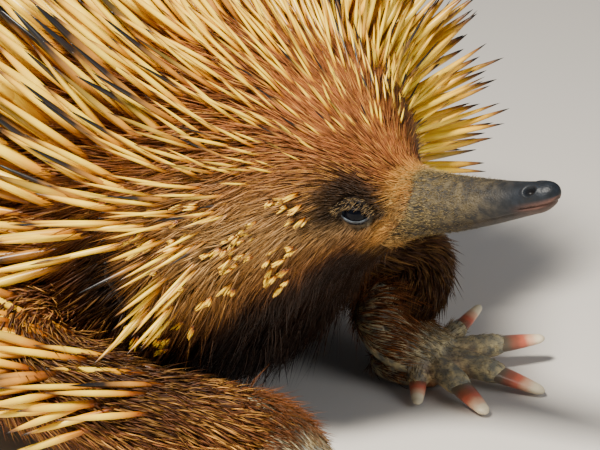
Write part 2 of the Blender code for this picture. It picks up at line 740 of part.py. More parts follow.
class Room:
    """What a spine has to keep clear of: the floor, the other nodes' solids and the other nodes' spines."""

    def __init__(self, solids):
        self.trees = {obj.name: tree_of(obj) for obj in solids}
        self.spines = []

    def free(self, node, start, end, radius):
        if min(start[2], end[2]) < FLOOR_ROOM:
            return False
        length = np.linalg.norm(end - start)
        direction = Vector((end - start) / length)
        sunk = -SPINE_SINK / length
        bottom = Vector(start) - direction * SPINE_SINK
        for name, tree in self.trees.items():
            if name == node:
                continue
            if tree.ray_cast(bottom, direction, length + SPINE_SINK)[0]:
                return False
            for t in (sunk, *np.linspace(0, 1, 14)):
                place = Vector(start + (end - start) * t)
                if tree.find_nearest(place, radius * fullness(t) + SPINE_ROOM)[0]:
                    return False
        if self.spines:
            _, a, b, r = zip(*self.spines)
            other = np.array([name != node for name, *_ in self.spines])
            apart, s, t = segment_distance(start, end, np.array(a), np.array(b))
            thick = radius * fullness(s) + np.array(r) * fullness(t)
            if (apart < thick * np.where(other, 1, 0.6) + np.where(other, SPINE_ROOM / 2, 0)).any():
                return False
        return True

    def take(self, node, start, end, radius):
        self.spines.append((node, start, end, radius))


def fullness(t):
    """A spine's radius at a share of its length, as a share of its greatest."""
    return np.clip((1 - t) / (1 - SPINE_WIDEST), 0, 1)


def segment_distance(p, q, a, b):
    """Distance from the segment p to q to each of the segments a to b, and where on both they are nearest."""
    u, v, w = q - p, b - a, p - a
    uu, vv = u @ u, np.einsum("ij,ij->i", v, v)
    uv, uw, vw = v @ u, w @ u, np.einsum("ij,ij->i", v, w)
    base = uu * vv - uv**2
    s = np.clip(np.where(base > 1e-12, (uv * vw - vv * uw) / np.maximum(base, 1e-12), 0), 0, 1)
    t = np.clip((uv * s + vw) / vv, 0, 1)
    s = np.clip((uv * t - uw) / uu, 0, 1)
    apart = w + s[:, None] * u - t[:, None] * v
    return np.linalg.norm(apart, axis=1), s, t


# Each try at a spine: how far it is raised from its lie towards the normal, and its share of its full length
TRIES = (
    (0, 1), (0, 1), (0, 1), (0.2, 1), (0.45, 1), (0, 0.8), (0.3, 0.8), (0.6, 0.8), (0.3, 0.62), (0.8, 0.62),
)


def place_spine(room, node, root, lie, normal, length, radius, rng):
    """Sets a spine where it is free, with a small random turn, or else turned, raised or shortened."""
    for raised, share in TRIES:
        direction = lie * (1 - raised) + normal * raised + rng.normal(0, SPINE_SCATTER, 3)
        direction /= np.linalg.norm(direction)
        end = root + direction * length * share
        if room.free(node, root, end, radius):
            room.take(node, root, end, radius)
            return spine_solid(root, direction, length * share, radius, rng.random() * 2)
    return None


def grow_body_spines(node, start, end, room, rng, keep_off):
    """The spines of one length of the body, as separate solids that are still to be fused."""
    made = []
    margin = 3 * MM
    for s, angle in spine_roots(start + margin, end - margin, SPINE_SPACING[node], rng):
        length, radius = spine_size(s, angle)
        length *= rng.uniform(0.82, 1.12)
        radius *= rng.uniform(0.88, 1.1)
        root, normal, rearward = body_frame(s, angle)
        if any(np.linalg.norm(root - place) < reach for place, reach in keep_off):
            continue
        lean = spine_lean(s, angle)
        lie = normal * math.cos(lean) + rearward * math.sin(lean)
        spine = place_spine(room, node, root, lie, normal, length, radius, rng)
        if spine:
            made.append(spine)
    return made


def grow_tail_spines(room, rng):
    """A fan of spines round the end of the tail, set by the golden angle."""
    made = []
    root, away, top = tail_frame()
    side = np.array((0, 1.0, 0))
    golden = math.pi * (3 - math.sqrt(5))
    for k in range(TAIL_SPINES):
        share = 0.55 + 0.37 * (k + 0.5) / TAIL_SPINES
        out = turned(top, side, golden * k)
        radius = TAIL_RADII[0] + (TAIL_RADII[1] - TAIL_RADII[0]) * share
        point = root + away * TAIL_LENGTH * share + out * radius * 0.86
        direction = turned(away, out, 0.75 - 0.35 * share)
        length = rng.uniform(*TAIL_SPINE_LENGTHS)
        spine = place_spine(room, "tail", point, direction, out, length, TAIL_SPINE_RADIUS, rng)
        if spine:
            made.append(spine)
    return made


def stand_at_origin():
    """Moves every solid so that the middle of the whole model's footprint is the origin."""
    solids = [obj for obj in bpy.context.scene.objects if obj.type == "MESH"]
    points = []
    for obj in solids:
        co = np.empty(len(obj.data.vertices) * 3, np.float32)
        obj.data.vertices.foreach_get("co", co)
        points.append(co.reshape(-1, 3))
    low = np.min([p.min(0) for p in points], axis=0)
    high = np.max([p.max(0) for p in points], axis=0)
    middle = (low + high) / 2
    for obj in solids:
        obj.location = (-middle[0], -middle[1], 0)


def main():
    clear_scene()
    rng = np.random.default_rng(SEED)
    torso = body_length("torso", TORSO_RINGS)
    neck = body_length("neck", NECK_RINGS)
    head = body_length("head", HEAD_RINGS)
    beak = make_beak()
    solids = [torso, neck, head, beak]
    for side, word in ((-1, "right"), (1, "left")):
        solids.append(make_eye(side, f"eye_{word}", head))
        solids.append(make_ear(side, f"ear_{word}", head))
    solids.append(make_tail())
    solids += [make_limb(name) for name in LIMBS]
    for name in FEET:
        foot, claws = make_foot(name)
        solids += [foot, *claws]

    room = Room(solids)
    ears = [(body_point(EAR_AT, EAR_ANGLE * side), EAR_CLEAR) for side in (-1, 1)]
    eyes = [(body_point(EYE_AT, EYE_ANGLE * side), EYE_CLEAR) for side in (-1, 1)]
    grown = {
        "head": grow_body_spines("head", NECK_END + GAP, LAST_SPINES, room, rng, ears + eyes),
        "neck": grow_body_spines("neck", TORSO_END + GAP, NECK_END, room, rng, ears),
        "tail": grow_tail_spines(room, rng),
        "torso": grow_body_spines("torso", 2 * MM, TORSO_END, room, rng, []),
    }
    for node, spines in grown.items():
        base = bpy.data.objects[node]
        fuse(base, spines)
        keep_largest_surface(base)
        print(node, len(spines), "spines,", len(base.data.polygons), "triangles")
    stand_at_origin()
    for obj in bpy.context.scene.objects:
        obj.data.shade_smooth()
        obj.data.set_sharp_from_angle(angle=SHARPEST)


main()
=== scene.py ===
"""The looks of a life-size short-beaked echidna: one skin, its fur and spines, its eyes and claws.

Lengths are in millimetres, +X to the front of the trunk, +Y to the animal's left, +Z up, and become metres
where a mesh is made. Surfaces are functions of two parameters: s, the distance from the rump along the back
line, and angle, from the back line down the side, positive to the left.
"""

import math
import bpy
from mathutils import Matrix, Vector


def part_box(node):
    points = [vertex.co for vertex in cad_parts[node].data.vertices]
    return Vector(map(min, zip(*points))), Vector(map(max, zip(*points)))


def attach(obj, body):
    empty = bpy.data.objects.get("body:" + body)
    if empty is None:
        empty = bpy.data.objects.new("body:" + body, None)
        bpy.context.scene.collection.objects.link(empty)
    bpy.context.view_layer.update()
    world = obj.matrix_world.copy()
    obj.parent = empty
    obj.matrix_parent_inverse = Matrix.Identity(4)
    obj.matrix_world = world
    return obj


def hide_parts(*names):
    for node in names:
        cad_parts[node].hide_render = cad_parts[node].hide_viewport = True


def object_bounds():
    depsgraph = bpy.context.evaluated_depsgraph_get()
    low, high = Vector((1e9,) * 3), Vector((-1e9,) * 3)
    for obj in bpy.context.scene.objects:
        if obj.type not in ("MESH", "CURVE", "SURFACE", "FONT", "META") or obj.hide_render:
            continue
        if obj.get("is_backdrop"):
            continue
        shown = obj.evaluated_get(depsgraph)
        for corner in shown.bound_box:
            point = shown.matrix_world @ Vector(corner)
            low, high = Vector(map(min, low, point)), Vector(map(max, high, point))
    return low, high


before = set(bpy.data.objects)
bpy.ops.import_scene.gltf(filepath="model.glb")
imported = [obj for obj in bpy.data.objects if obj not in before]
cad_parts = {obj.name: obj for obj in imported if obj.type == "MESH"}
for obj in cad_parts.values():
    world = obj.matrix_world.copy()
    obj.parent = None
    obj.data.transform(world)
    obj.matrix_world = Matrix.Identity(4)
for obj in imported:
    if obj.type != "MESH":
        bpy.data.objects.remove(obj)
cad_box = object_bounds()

from types import SimpleNamespace

import bpy
import numpy as np
from mathutils import Matrix, Vector

MM = 0.001
SEED = 23
AHEAD, LEFT, UP = np.eye(3)

# The outline of the body in life: distance from the rump, half width, height of the back, of the underside
OUTLINE = (
    (0, 54, 130, 34), (40, 70, 145, 24), (95, 84, 157, 18), (145, 87, 159, 17), (195, 84, 158, 18),
    (235, 76, 155.5, 19), (262, 65, 151.5, 31), (285, 50, 144, 53), (303, 33.5, 132, 71),
    (317, 18.5, 119.5, 81.5), (330, 11.8, 112, 88.3),
)
RUMP_ROUND = 42
SIDE_LEVEL = 0.42  # height of the widest line, as a share of the body's height
HEAD_TURN = math.radians(25)
TURN_START, TURN_END = 170, 285
TRUNK_X0 = -150
TORSO_END, NECK_END, HEAD_END, OUTLINE_END = 200, 236, 326, 330
# Depth of the skin under the coat
FUR_DEPTH = ((0, 5), (60, 6), (200, 6), (240, 5), (270, 4), (300, 2.4), (317, 1.2), (330, 0.2))

BEAK_LENGTH = 60
BEAK_PITCH = math.radians(16)
BEAK_PROFILE = ((0, 12.3), (0.1, 11.0), (0.5, 8.2), (0.85, 5.6), (1, 4.9))
BEAK_TIP = HEAD_END + BEAK_LENGTH
BEAK_TIP_ROUND = 6
BEAK_SAG = 1.6
BEAK_JOIN = (316, 16)  # where the body turns into the beak, and over what stretch
NOSTRIL_SIZE = (1.9, 1.5)
NOSTRIL_BACK = 8.5
NOSTRIL_TILT = math.radians(50)
NOSTRIL_SLANT = math.radians(20)
MOUTH_DROP = 2.2

EYE_AT, EYE_ANGLE = 317, math.radians(84.7)
EYE_RADIUS, EYE_SINK, CORNEA_RISE = 4.8, 3.4, 0.35
LID_WIDTH, LID_RISE, LID_DROP = 4.7, 1.9, 2.1  # half width of the opening, and its height above and below
LID_REACH = (8.4, 6.4)  # half sizes of the lids where they meet the skin
EAR_AT, EAR_ANGLE = 257, math.radians(99)
EAR_SIZE = (5.2, 12.0)
# How far fur, spines and stubs keep from the eye's middle, and from the ear's in its own half sizes
FUR_CLEAR, SPINE_CLEAR, STUB_CLEAR = (6, 0.8), (13, 1.3), (17, 1.6)
FUZZ_CLEAR = 9  # how far the beak's fuzz keeps from the eye's middle
# The ear's wall from its foot over the rim to its pit: width as a share of its size, and height over the skin
EAR_PROFILE = (
    (0.02, -3.5), (0.8, -3.5), (1.25, -1.2), (1.16, 0.4), (1.1, 1.8), (1.04, 2.6), (0.94, 3.0),
    (0.85, 2.6), (0.78, 1.6), (0.68, 0.2), (0.5, -1.2), (0.3, -1.9), (0.02, -2.1),
)

TAIL_ROOT = (10, 78)
TAIL_LENGTH = 52
TAIL_RADII = (21, 8)
TAIL_FUR = 2
TAIL_DROOP = math.radians(28)

# Legs: control points of the middle line, then the half sizes fore and aft, and across, at top and end
LIMBS = {
    "foreleg_right": (((64, -40, 56), (84, -98, 47), (130, -80, 32), (154, -8, 22)), (34, 19), (25, 14)),
    "foreleg_left": (((52, 40, 54), (56, 98, 46), (62, 106, 30), (82, 75, 22)), (30, 17), (22, 12)),
    "hindleg_right": (((-66, -36, 70), (-58, -100, 70), (-68, -110, 34), (-84, -98, 22)), (34, 15), (25, 12)),
    "hindleg_left": (((-66, 36, 70), (-58, 100, 70), (-68, 110, 34), (-84, 98, 22)), (34, 15), (25, 12)),
}
LIMB_FUR = (3.5, 1.2)  # depth of the fur at the top of a leg and at its end
LIMB_TAPER = 0.8

# Digits: turn from the foot's direction to its outer side, toe, claw, the claw's half width and tip's height
FORE_DIGITS = (
    (-68, 13, 10, 3.3, 0), (-35, 23, 15, 4.3, 0), (0, 26, 16, 4.5, 0), (35, 25, 15, 4.4, 9),
    (70, 16, 10, 3.3, 16),
)
HIND_DIGITS = (
    (-46, 9, 9, 2.6, 0), (-20, 15, 38, 2.7, 0), (2, 14, 27, 2.6, 0), (24, 13, 18, 2.5, 0),
    (48, 10, 12, 2.4, 0),
)
DIGIT_NAMES = ("first", "second", "third", "fourth", "fifth")
# Feet: leg, direction, side, digits, and the palm's half width, length and height
FEET = {
    "forefoot_right": ("foreleg_right", 32, -1, FORE_DIGITS, (17, 20, 10)),
    "forefoot_left": ("foreleg_left", 40, 1, FORE_DIGITS, (17, 20, 10)),
    "hindfoot_right": ("hindleg_right", -128, -1, HIND_DIGITS, (15, 26, 10)),
    "hindfoot_left": ("hindleg_left", 128, 1, HIND_DIGITS, (15, 26, 10)),
}
WRIST = 11  # half size of a foot where it leaves its leg
FOOT_CUBE, FOOT_SMOOTHING = 0.9, 4  # size of the cubes that join a foot's tubes, and rounds of smoothing

# Spines by distance from the rump: length, radius, lean from the normal and lowest angle in degrees, spacing
SPINE_LENGTHS = ((0, 36), (60, 46), (150, 52), (205, 51), (240, 47), (262, 38), (285, 23), (312, 9))
SPINE_RADII = ((0, 1.9), (150, 2.35), (215, 2.35), (240, 1.9), (262, 1.1), (285, 0.62), (312, 0.42))
SPINE_LEANS = ((0, 20), (60, 44), (150, 52), (210, 50), (245, 50), (270, 56), (300, 62))
SPINE_LIMITS = (
    (0, 150), (40, 122), (100, 118), (170, 122), (215, 130),
    (245, 136), (262, 130), (276, 108), (288, 82), (300, 60), (312, 36),
)
SPINE_SPACING = ((0, 8.0), (100, 7.2), (200, 6.8), (240, 6.2), (262, 5.4), (285, 4.6), (312, 4.2))
SPINE_ENDS = (1.5, 312)
RUFF_LENGTH = 52
RUFF_START, RUFF_FULL, RUFF_LAST = 185, 225, 290
RUFF_ANGLES = (0.35, 0.95)
RUFF_RISE = 1.15
LEG_SPINES, LEG_SPINE_LENGTHS, LEG_SPINE_RADII = 980, (40, 54), (1.6, 2.4)
TAIL_SPINES, TAIL_SPINE_LENGTHS, TAIL_SPINE_RADIUS = 60, (20, 32), 1.3
STUBS, STUB_CLUSTERS, STUB_SLIVERS = 85, 30, 6

# Fur by distance from the rump: length of the hair, half width of a tuft, rise from the skin in degrees
FUR_LENGTHS = (
    (0, 17), (100, 20), (200, 20), (245, 18), (275, 14), (297, 11.5), (312, 8.5), (322, 6), (334, 2.8),
)
FUR_WIDTHS = ((0, 0.58), (200, 0.56), (245, 0.35), (290, 0.24), (312, 0.155), (334, 0.12))
FUR_RISES = ((0, 32), (200, 30), (250, 26), (290, 20), (312, 16), (334, 20))
FUR_END = 334
LOCK = 4.5  # size of the locks that neighbouring tufts lie in

# Widths along a tuft, a spine and a stub: share of the length, and share of the radius
FUR_PROFILE = ((-0.08, 0.9), (0.45, 1.0))
LONG_PROFILE = ((-0.06, 0.8), (0.3, 1.0), (0.68, 0.75))
SPINE_PROFILE = ((-0.08, 0.7), (0.06, 0.82), (0.35, 1.0), (0.62, 0.86), (0.84, 0.5), (0.95, 0.22))
STUB_PROFILE = ((-0.2, 0.6), (0.3, 1.0), (0.8, 0.75))

PATCH = 0.003  # side of each tuft's patch on the map
FLOOR_ROOM = 0.3  # hair, spines and claws stay this far above the floor


# Numbers and directions

def unit(v):
    """Vectors divided by their lengths."""
    return v / np.linalg.norm(v, axis=-1, keepdims=True)


def dots(a, b):
    """The dot product of each vector of a with its own of b."""
    return np.einsum("ij,ij->i", a, b)


def lerp(pair, t):
    """In a straight line from the pair's first number at t = 0 to its second at t = 1."""
    return pair[0] + (pair[1] - pair[0]) * t


def ease(t):
    """Rises from 0 to 1 as 3t^2 - 2t^3."""
    t = np.clip(t, 0, 1)
    return t * t * (3 - 2 * t)


def bell(t):
    """exp(-t^2)."""
    return np.exp(-np.square(t))


def quarter(t, least=0.0):
    """A quarter circle, the root of 1 - t^2 for t held from 0 to 1, with its square held above least."""
    return np.sqrt(np.clip(1 - np.clip(t, 0, 1) ** 2, least, 1))


def full_turn(count):
    """Angles evenly round a circle."""
    return np.linspace(0, 2 * math.pi, count, endpoint=False)


def grid_of(a, b):
    """Two arrays over a grid, with a down its rows and b along them."""
    return np.meshgrid(a, b, indexing="ij")


def placed(origin, *steps):
    """The origin moved by each step, a distance and its direction."""
    for distance, direction in steps:
        origin = origin + distance[..., None] * direction
    return origin


def tilted(start, end, angle):
    """Directions turned by an angle from the first towards the second: start cos(angle) + end sin(angle)."""
    return start * np.cos(angle)[:, None] + end * np.sin(angle)[:, None]


def along_skin(v, normal):
    """Vectors less their part along the normal."""
    return v - normal * dots(v, normal)[:, None]


def upright(one, other):
    """The direction across both that points up."""
    across = np.cross(one, other)
    return across if across[2] > 0 else -across


def joined(parts):
    """Several lists of arrays put end to end, array by array."""
    return [np.concatenate(v) for v in zip(*parts)]


def bounded_noise(rng, count, amount):
    """Factors round 1: e to a normal number of the given deviation, held within two deviations."""
    return np.exp(np.clip(rng.normal(0, amount, count), -2 * amount, 2 * amount))


def smooth_curve(knots, values, at):
    """A curve through the knots with no overshoot: cubics whose slopes are the harmonic mean of the
    chords'."""
    knots, values = np.asarray(knots, float), np.asarray(values, float)
    at = np.clip(at, knots[0], knots[-1])
    step = np.diff(knots)
    chord = np.diff(values) / step
    slope = np.zeros(len(knots))
    same = chord[:-1] * chord[1:] > 0
    total = np.where(same, chord[:-1] + chord[1:], 1)
    slope[1:-1] = np.where(same, 2 * chord[:-1] * chord[1:] / total, 0)
    slope[0], slope[-1] = chord[0], chord[-1]
    i = np.clip(np.searchsorted(knots, at, side="right") - 1, 0, len(step) - 1)
    t = (at - knots[i]) / step[i]
    rise = t * t * (3 - 2 * t)
    return (
        values[i] * (1 - rise)
        + values[i + 1] * rise
        + step[i] * slope[i] * t * (1 - t) ** 2
        - step[i] * slope[i + 1] * t * t * (1 - t)
    )


def by_station(rows, s, column=1):
    """A column of a table of rows at s."""
    return smooth_curve([row[0] for row in rows], [row[column] for row in rows], s)


# The shape of the body

def heading(s):
    """The back line's direction seen from above, turning smoothly to the left from the trunk to the head."""
    return HEAD_TURN * ease((s - TURN_START) / (TURN_END - TURN_START))


PLAN_S = np.arange(0, 420)
PLAN_X = TRUNK_X0 + np.concatenate([[0], np.cumsum(np.cos(heading(PLAN_S[:-1])))])
PLAN_Y = np.concatenate([[0], np.cumsum(np.sin(heading(PLAN_S[:-1])))])


def along_head(s, side, up):
    """A point by its distance along the back line, to the left of it and above the floor."""
    turn = heading(s)
    x = np.interp(s, PLAN_S, PLAN_X) - np.sin(turn) * side
    y = np.interp(s, PLAN_S, PLAN_Y) + np.cos(turn) * side
    return np.stack(np.broadcast_arrays(x, y, up), -1)


def side_heights(s):
    """Heights of the back, of the underside and of the widest line between them."""
    top, under = by_station(OUTLINE, s, 2), by_station(OUTLINE, s, 3)
    return top, under, under + SIDE_LEVEL * (top - under)


def body_point(s, angle, grow=0.0):
    """Two half ovals at each s, joined at the widest line, grown outward by grow; the rump closes as an
    oval."""
    top, under, level = side_heights(s)
    round_off = quarter(1 - s / RUMP_ROUND, 1e-6)
    reach = np.where(np.cos(angle) > 0, top - level, level - under)
    side = np.maximum(by_station(OUTLINE, s) * round_off + grow, 0.2) * np.sin(angle)
    return along_head(s, side, level + np.maximum(reach * round_off + grow, 0.2) * np.cos(angle))


def beak_level(share):
    """Height of the beak's middle line: a straight rise at its pitch with a half sine of sag under it."""
    top, under, _ = side_heights(HEAD_END)
    rise = BEAK_LENGTH * math.tan(BEAK_PITCH) * share
    return (top + under) / 2 + rise - BEAK_SAG * np.sin(math.pi * np.clip(share, 0, 1))


def beak_radius(s):
    """The beak's profile along its length, times the quarter circle that rounds its tip."""
    share = (s - HEAD_END) / BEAK_LENGTH
    radius = by_station(BEAK_PROFILE, np.clip(share, 0, 1)) - np.minimum(share, 0) * 8
    return radius * quarter(1 - (1 - share) * BEAK_LENGTH / BEAK_TIP_ROUND)


def near_nostril(s, angle, radius):
    """Distance from the nearer nostril's middle, in its own slanted half sizes."""
    along = s - (BEAK_TIP - NOSTRIL_BACK)
    down = radius * (np.abs(angle) - NOSTRIL_TILT)
    long = along * math.cos(NOSTRIL_SLANT) + down * math.sin(NOSTRIL_SLANT)
    wide = down * math.cos(NOSTRIL_SLANT) - along * math.sin(NOSTRIL_SLANT)
    return np.hypot(long / NOSTRIL_SIZE[0], wide / NOSTRIL_SIZE[1])


def beak_relief(s, angle, radius):
    """What stands out of or into the beak: rims and pits of the nostrils, slit of the mouth, crease of the
    jaw and the ridge on top, each a bell across times an ease along."""
    share = (s - HEAD_END) / BEAK_LENGTH
    apart = near_nostril(s, angle, radius)
    pit = 2.1 * np.exp(-apart**4)
    rim = 0.42 * bell((apart - 1.4) / 0.42)
    mouth = 0.8 * bell((radius * np.cos(angle) + MOUTH_DROP) / 0.4) * ease((share - 0.77) / 0.05)
    jaw = 0.3 * bell((np.abs(angle) - 2.2) / 0.08) * ease((share - 0.05) / 0.2)
    jaw *= 1 - ease((share - 0.76) / 0.05)
    ridge = 0.35 * bell(angle / 0.5) * bell((share - 0.25) / 0.3)
    return (rim - pit - mouth - jaw + ridge) * np.clip(radius / 3, 0, 1)


EYE_MARKS = [body_point(np.float64(EYE_AT), np.float64(EYE_ANGLE * side)) for side in (-1, 1)]


def near_eye(s, angle):
    """Distance over the coat from the nearer eye's centre."""
    here = body_point(s, angle)
    return np.minimum(*(np.linalg.norm(here - mark, axis=-1) for mark in EYE_MARKS))


def hide(s, angle):
    """The bare skin: the body's outline less the depth of the fur, with a hollow round each eye and a brow
    above it, turning over a short stretch into the beak, a round tube of its own radius and relief about its
    line."""
    s, angle = np.broadcast_arrays(np.asarray(s, float), np.asarray(angle, float))
    apart = near_eye(s, angle)
    brow = bell((apart - 9) / 4) * (np.abs(angle) < EYE_ANGLE) * ease((EYE_ANGLE - np.abs(angle)) / 0.25)
    grow = -by_station(FUR_DEPTH, s) - 1.0 * bell(apart / 6) + 0.9 * brow
    body = body_point(np.minimum(s, OUTLINE_END), angle, grow)
    radius = beak_radius(s)
    radius = radius + beak_relief(s, angle, radius)
    share = (s - HEAD_END) / BEAK_LENGTH
    beak = along_head(s, radius * np.sin(angle), beak_level(share) + radius * np.cos(angle))
    weight = ease((s - BEAK_JOIN[0]) / BEAK_JOIN[1])[..., None]
    return body * (1 - weight) + beak * weight


def surface_frame(surface, a, b, step_a=0.4, step_b=0.01):
    """Point, outward normal and the direction of falling a on a surface of two parameters."""
    point = surface(a, b)
    back = unit(surface(a - step_a, b) - surface(a + step_a, b))
    around = surface(a, b + step_b) - surface(a, b - step_b)
    return point, unit(np.cross(around, back)), back


def bezier(controls, t):
    """Points along the Bezier curve of any number of control points, at each t."""
    t = np.asarray(t, float)[..., None]
    order = len(controls) - 1
    return sum(
        math.comb(order, k) * (1 - t) ** (order - k) * t**k * np.asarray(c, float)
        for k, c in enumerate(controls)
    )


def tube_frame(path, ref):
    """Directions along a path, and two across it of which the first is nearest to ref."""
    along = unit(np.gradient(path, axis=0))
    first = unit(ref - (along @ ref)[:, None] * along)
    return along, first, np.cross(along, first)


def tube(path, half_a, half_b, ref, sides):
    """Ovals round a path, with half_a nearest to ref and half_b across both."""
    _, first, second = tube_frame(path, np.asarray(ref, float))
    turn = full_turn(sides)
    half_a, half_b = (np.broadcast_to(half, len(path))[:, None] for half in (half_a, half_b))
    return placed(
        path[:, None], (half_a * np.cos(turn), first[:, None]), (half_b * np.sin(turn), second[:, None]),
    )


def limb(name, t, angle):
    """The skin of a leg: an oval round a Bezier path, whose half sizes go with a power of the share t and
    close round, as a quarter circle, over its last fifth."""
    controls, fore_aft, across = LIMBS[name]
    t, angle = np.broadcast_arrays(np.asarray(t, float), np.asarray(angle, float))
    along = unit(bezier(controls, t + 0.01) - bezier(controls, t - 0.01))
    first = unit(AHEAD - (along @ AHEAD)[..., None] * along)
    share = np.clip(t, 0, 1)
    close = quarter((t - 0.86) / 0.2, 0.02)
    half_a, half_b = (
        (lerp(size, share**LIMB_TAPER) - lerp(LIMB_FUR, share)) * close for size in (fore_aft, across)
    )
    path, second = bezier(controls, t), np.cross(along, first)
    return placed(path, (half_a * np.cos(angle), first), (half_b * np.sin(angle), second))


def tail_frame():
    """The tail's root, and the directions away along its line and up across it."""
    away = np.array((-math.cos(TAIL_DROOP), 0, -math.sin(TAIL_DROOP)))
    top = np.array((-math.sin(TAIL_DROOP), 0, math.cos(TAIL_DROOP)))
    return along_head(TAIL_ROOT[0], 0, TAIL_ROOT[1]), away, top


def tail(t, angle):
    """The tail's skin: a cone about its line that closes round over its last quarter."""
    t, angle = np.broadcast_arrays(np.asarray(t, float), np.asarray(angle, float))
    root, away, top = tail_frame()
    radius = (lerp(TAIL_RADII, t) - TAIL_FUR) * quarter((t - 0.72) / 0.3, 0.02)
    return placed(
        root, (TAIL_LENGTH * t, away), (radius * np.cos(angle), LEFT), (radius * 0.9 * np.sin(angle), top),
    )


def eye_frame(side):
    """The eye's centre, and the directions out, forward and up on the head, for side -1 right or 1 left."""
    point, normal, back = surface_frame(body_point, np.float64(EYE_AT), np.float64(EYE_ANGLE * side), 0.5)
    return point - normal * EYE_SINK, normal, -back, upright(-back, normal)


def ear_frame(side):
    """The ear's middle on the skin, and the directions out, back and up on the head."""
    middle, out, back = surface_frame(hide, np.float64(EAR_AT), np.float64(EAR_ANGLE * side))
    return middle, out, back, upright(out, back)


low, high = (np.array(corner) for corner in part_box("eye_right"))
SHIFT = (low + high) / 2 / MM - eye_frame(-1)[0]  # from these lengths to the frame's own origin


# Meshes

def make_piece(name, points, loops, sizes, values, uv=None):
    """A mesh object from points in millimetres, the corners of its faces one after another, and each face's
    count of corners. values holds one array for each attribute, a number or a colour for each point."""
    mesh = bpy.data.meshes.new(name)
    mesh.vertices.add(len(points))
    mesh.vertices.foreach_set("co", ((points + SHIFT) * MM).astype(np.float32).ravel())
    mesh.loops.add(len(loops))
    mesh.loops.foreach_set("vertex_index", loops.astype(np.int32))
    mesh.polygons.add(len(sizes))
    mesh.polygons.foreach_set("loop_start", starts_of(sizes).astype(np.int32))
    mesh.update(calc_edges=True)
    for key, value in values.items():
        value = np.asarray(value, np.float32)
        if value.ndim == 1:
            mesh.attributes.new(key, "FLOAT", "POINT").data.foreach_set("value", value)
        else:
            rgba = np.ones((len(value), 4), np.float32)
            rgba[:, :3] = value
            mesh.attributes.new(key, "FLOAT_COLOR", "POINT").data.foreach_set("color", rgba.ravel())
    if uv is not None:
        mesh.uv_layers.new(name="OFBake").data.foreach_set("uv", uv.astype(np.float32).ravel())
    mesh.polygons.foreach_set("use_smooth", np.ones(len(sizes), bool))
    obj = bpy.data.objects.new(name, mesh)
    bpy.context.scene.collection.objects.link(obj)
    return obj


def starts_of(sizes):
    """Where each face's corners start, for faces of the given counts of corners."""
    return np.concatenate([[0], np.cumsum(sizes)[:-1]])


def grid_faces(rows, columns):
    """Quads of a grid whose columns close on themselves."""
    i = np.arange(rows - 1)[:, None] * columns
    k = np.arange(columns)
    after = (k + 1) % columns
    return np.stack([i + k, i + after, i + after + columns, i + k + columns], -1).reshape(-1, 4)


def shell(rings, caps=True):
    """Points, loops and face sizes of a closed shell through rings. Either each end has a fan to a middle
    point, or the last ring is joined to the first."""
    rows, columns = rings.shape[:2]
    points = rings.reshape(-1, 3)
    quads = grid_faces(rows, columns)[:, ::-1]
    if not caps:
        wrap = grid_faces(2, columns)[:, ::-1]
        last = np.where(wrap >= columns, wrap - columns, wrap + (rows - 1) * columns)
        return points, np.concatenate([quads, last]).ravel(), np.full(len(quads) + columns, 4)
    count = len(points)
    points = np.concatenate([points, rings[:1].mean(1), rings[-1:].mean(1)])
    k = np.arange(columns)
    after = (k + 1) % columns
    start = np.stack([after, np.full(columns, count), k], -1)
    end = np.stack([k, np.full(columns, count + 1), after], -1) + np.array((1, 0, 1)) * (rows - 1) * columns
    loops = np.concatenate([quads.ravel(), start.ravel(), end.ravel()])
    return points, loops, np.concatenate([np.full(len(quads), 4), np.full(2 * columns, 3)])


def outward(points, loops, sizes):
    """The loops, turned round if the shell's volume comes out negative. The volume is a sixth of the sum,
    over triangles fanned from each face's first corner, of the triple products of their corners."""
    starts = starts_of(sizes)
    q = starts[sizes == 4]
    volume = 0
    for corners in ([starts, starts + 1, starts + 2], [q, q + 2, q + 3]):
        a, b, c = (points[loops[corner]] for corner in corners)
        volume += np.einsum("ij,ij->", a, np.cross(b, c))
    if volume > 0:
        return loops
    made = np.empty_like(loops)
    for n in (4, 3):
        corners = starts[sizes == n][:, None] + np.arange(n)
        made[corners] = np.flip(loops[corners], 1)
    return made


class Assembly:
    """Shells gathered into one mesh, with their attributes."""

    def __init__(self):
        self.points, self.loops, self.sizes, self.values = [], [], [], []
        self.count = 0

    def add(self, part, **values):
        """A shell's points, loops and sizes, with a number or a colour for each point in each attribute."""
        points, loops, sizes = part
        self.points.append(points)
        self.loops.append(outward(points, loops, sizes) + self.count)
        self.sizes.append(sizes)
        self.values.append(values)
        self.count += len(points)

    def add_skin(self, part, tint, second, rough, relief=1.0):
        """A shell of skin: its colour, the colour of its mottling, its roughness and its wrinkles'
        strength."""
        count = len(part[0])
        tint, second = np.broadcast_to(tint, (count, 3)), np.broadcast_to(second, (count, 3))
        rough, relief = (np.broadcast_to(np.asarray(v, float), count) for v in (rough, relief))
        self.add(part, tint=tint, second=second, rough=rough, relief=relief)

    def make(self, name):
        """One piece of all the shells."""
        values = {key: np.concatenate([v[key] for v in self.values]) for key in self.values[0]}
        return make_piece(name, *(np.concatenate(v) for v in (self.points, self.loops, self.sizes)), values)


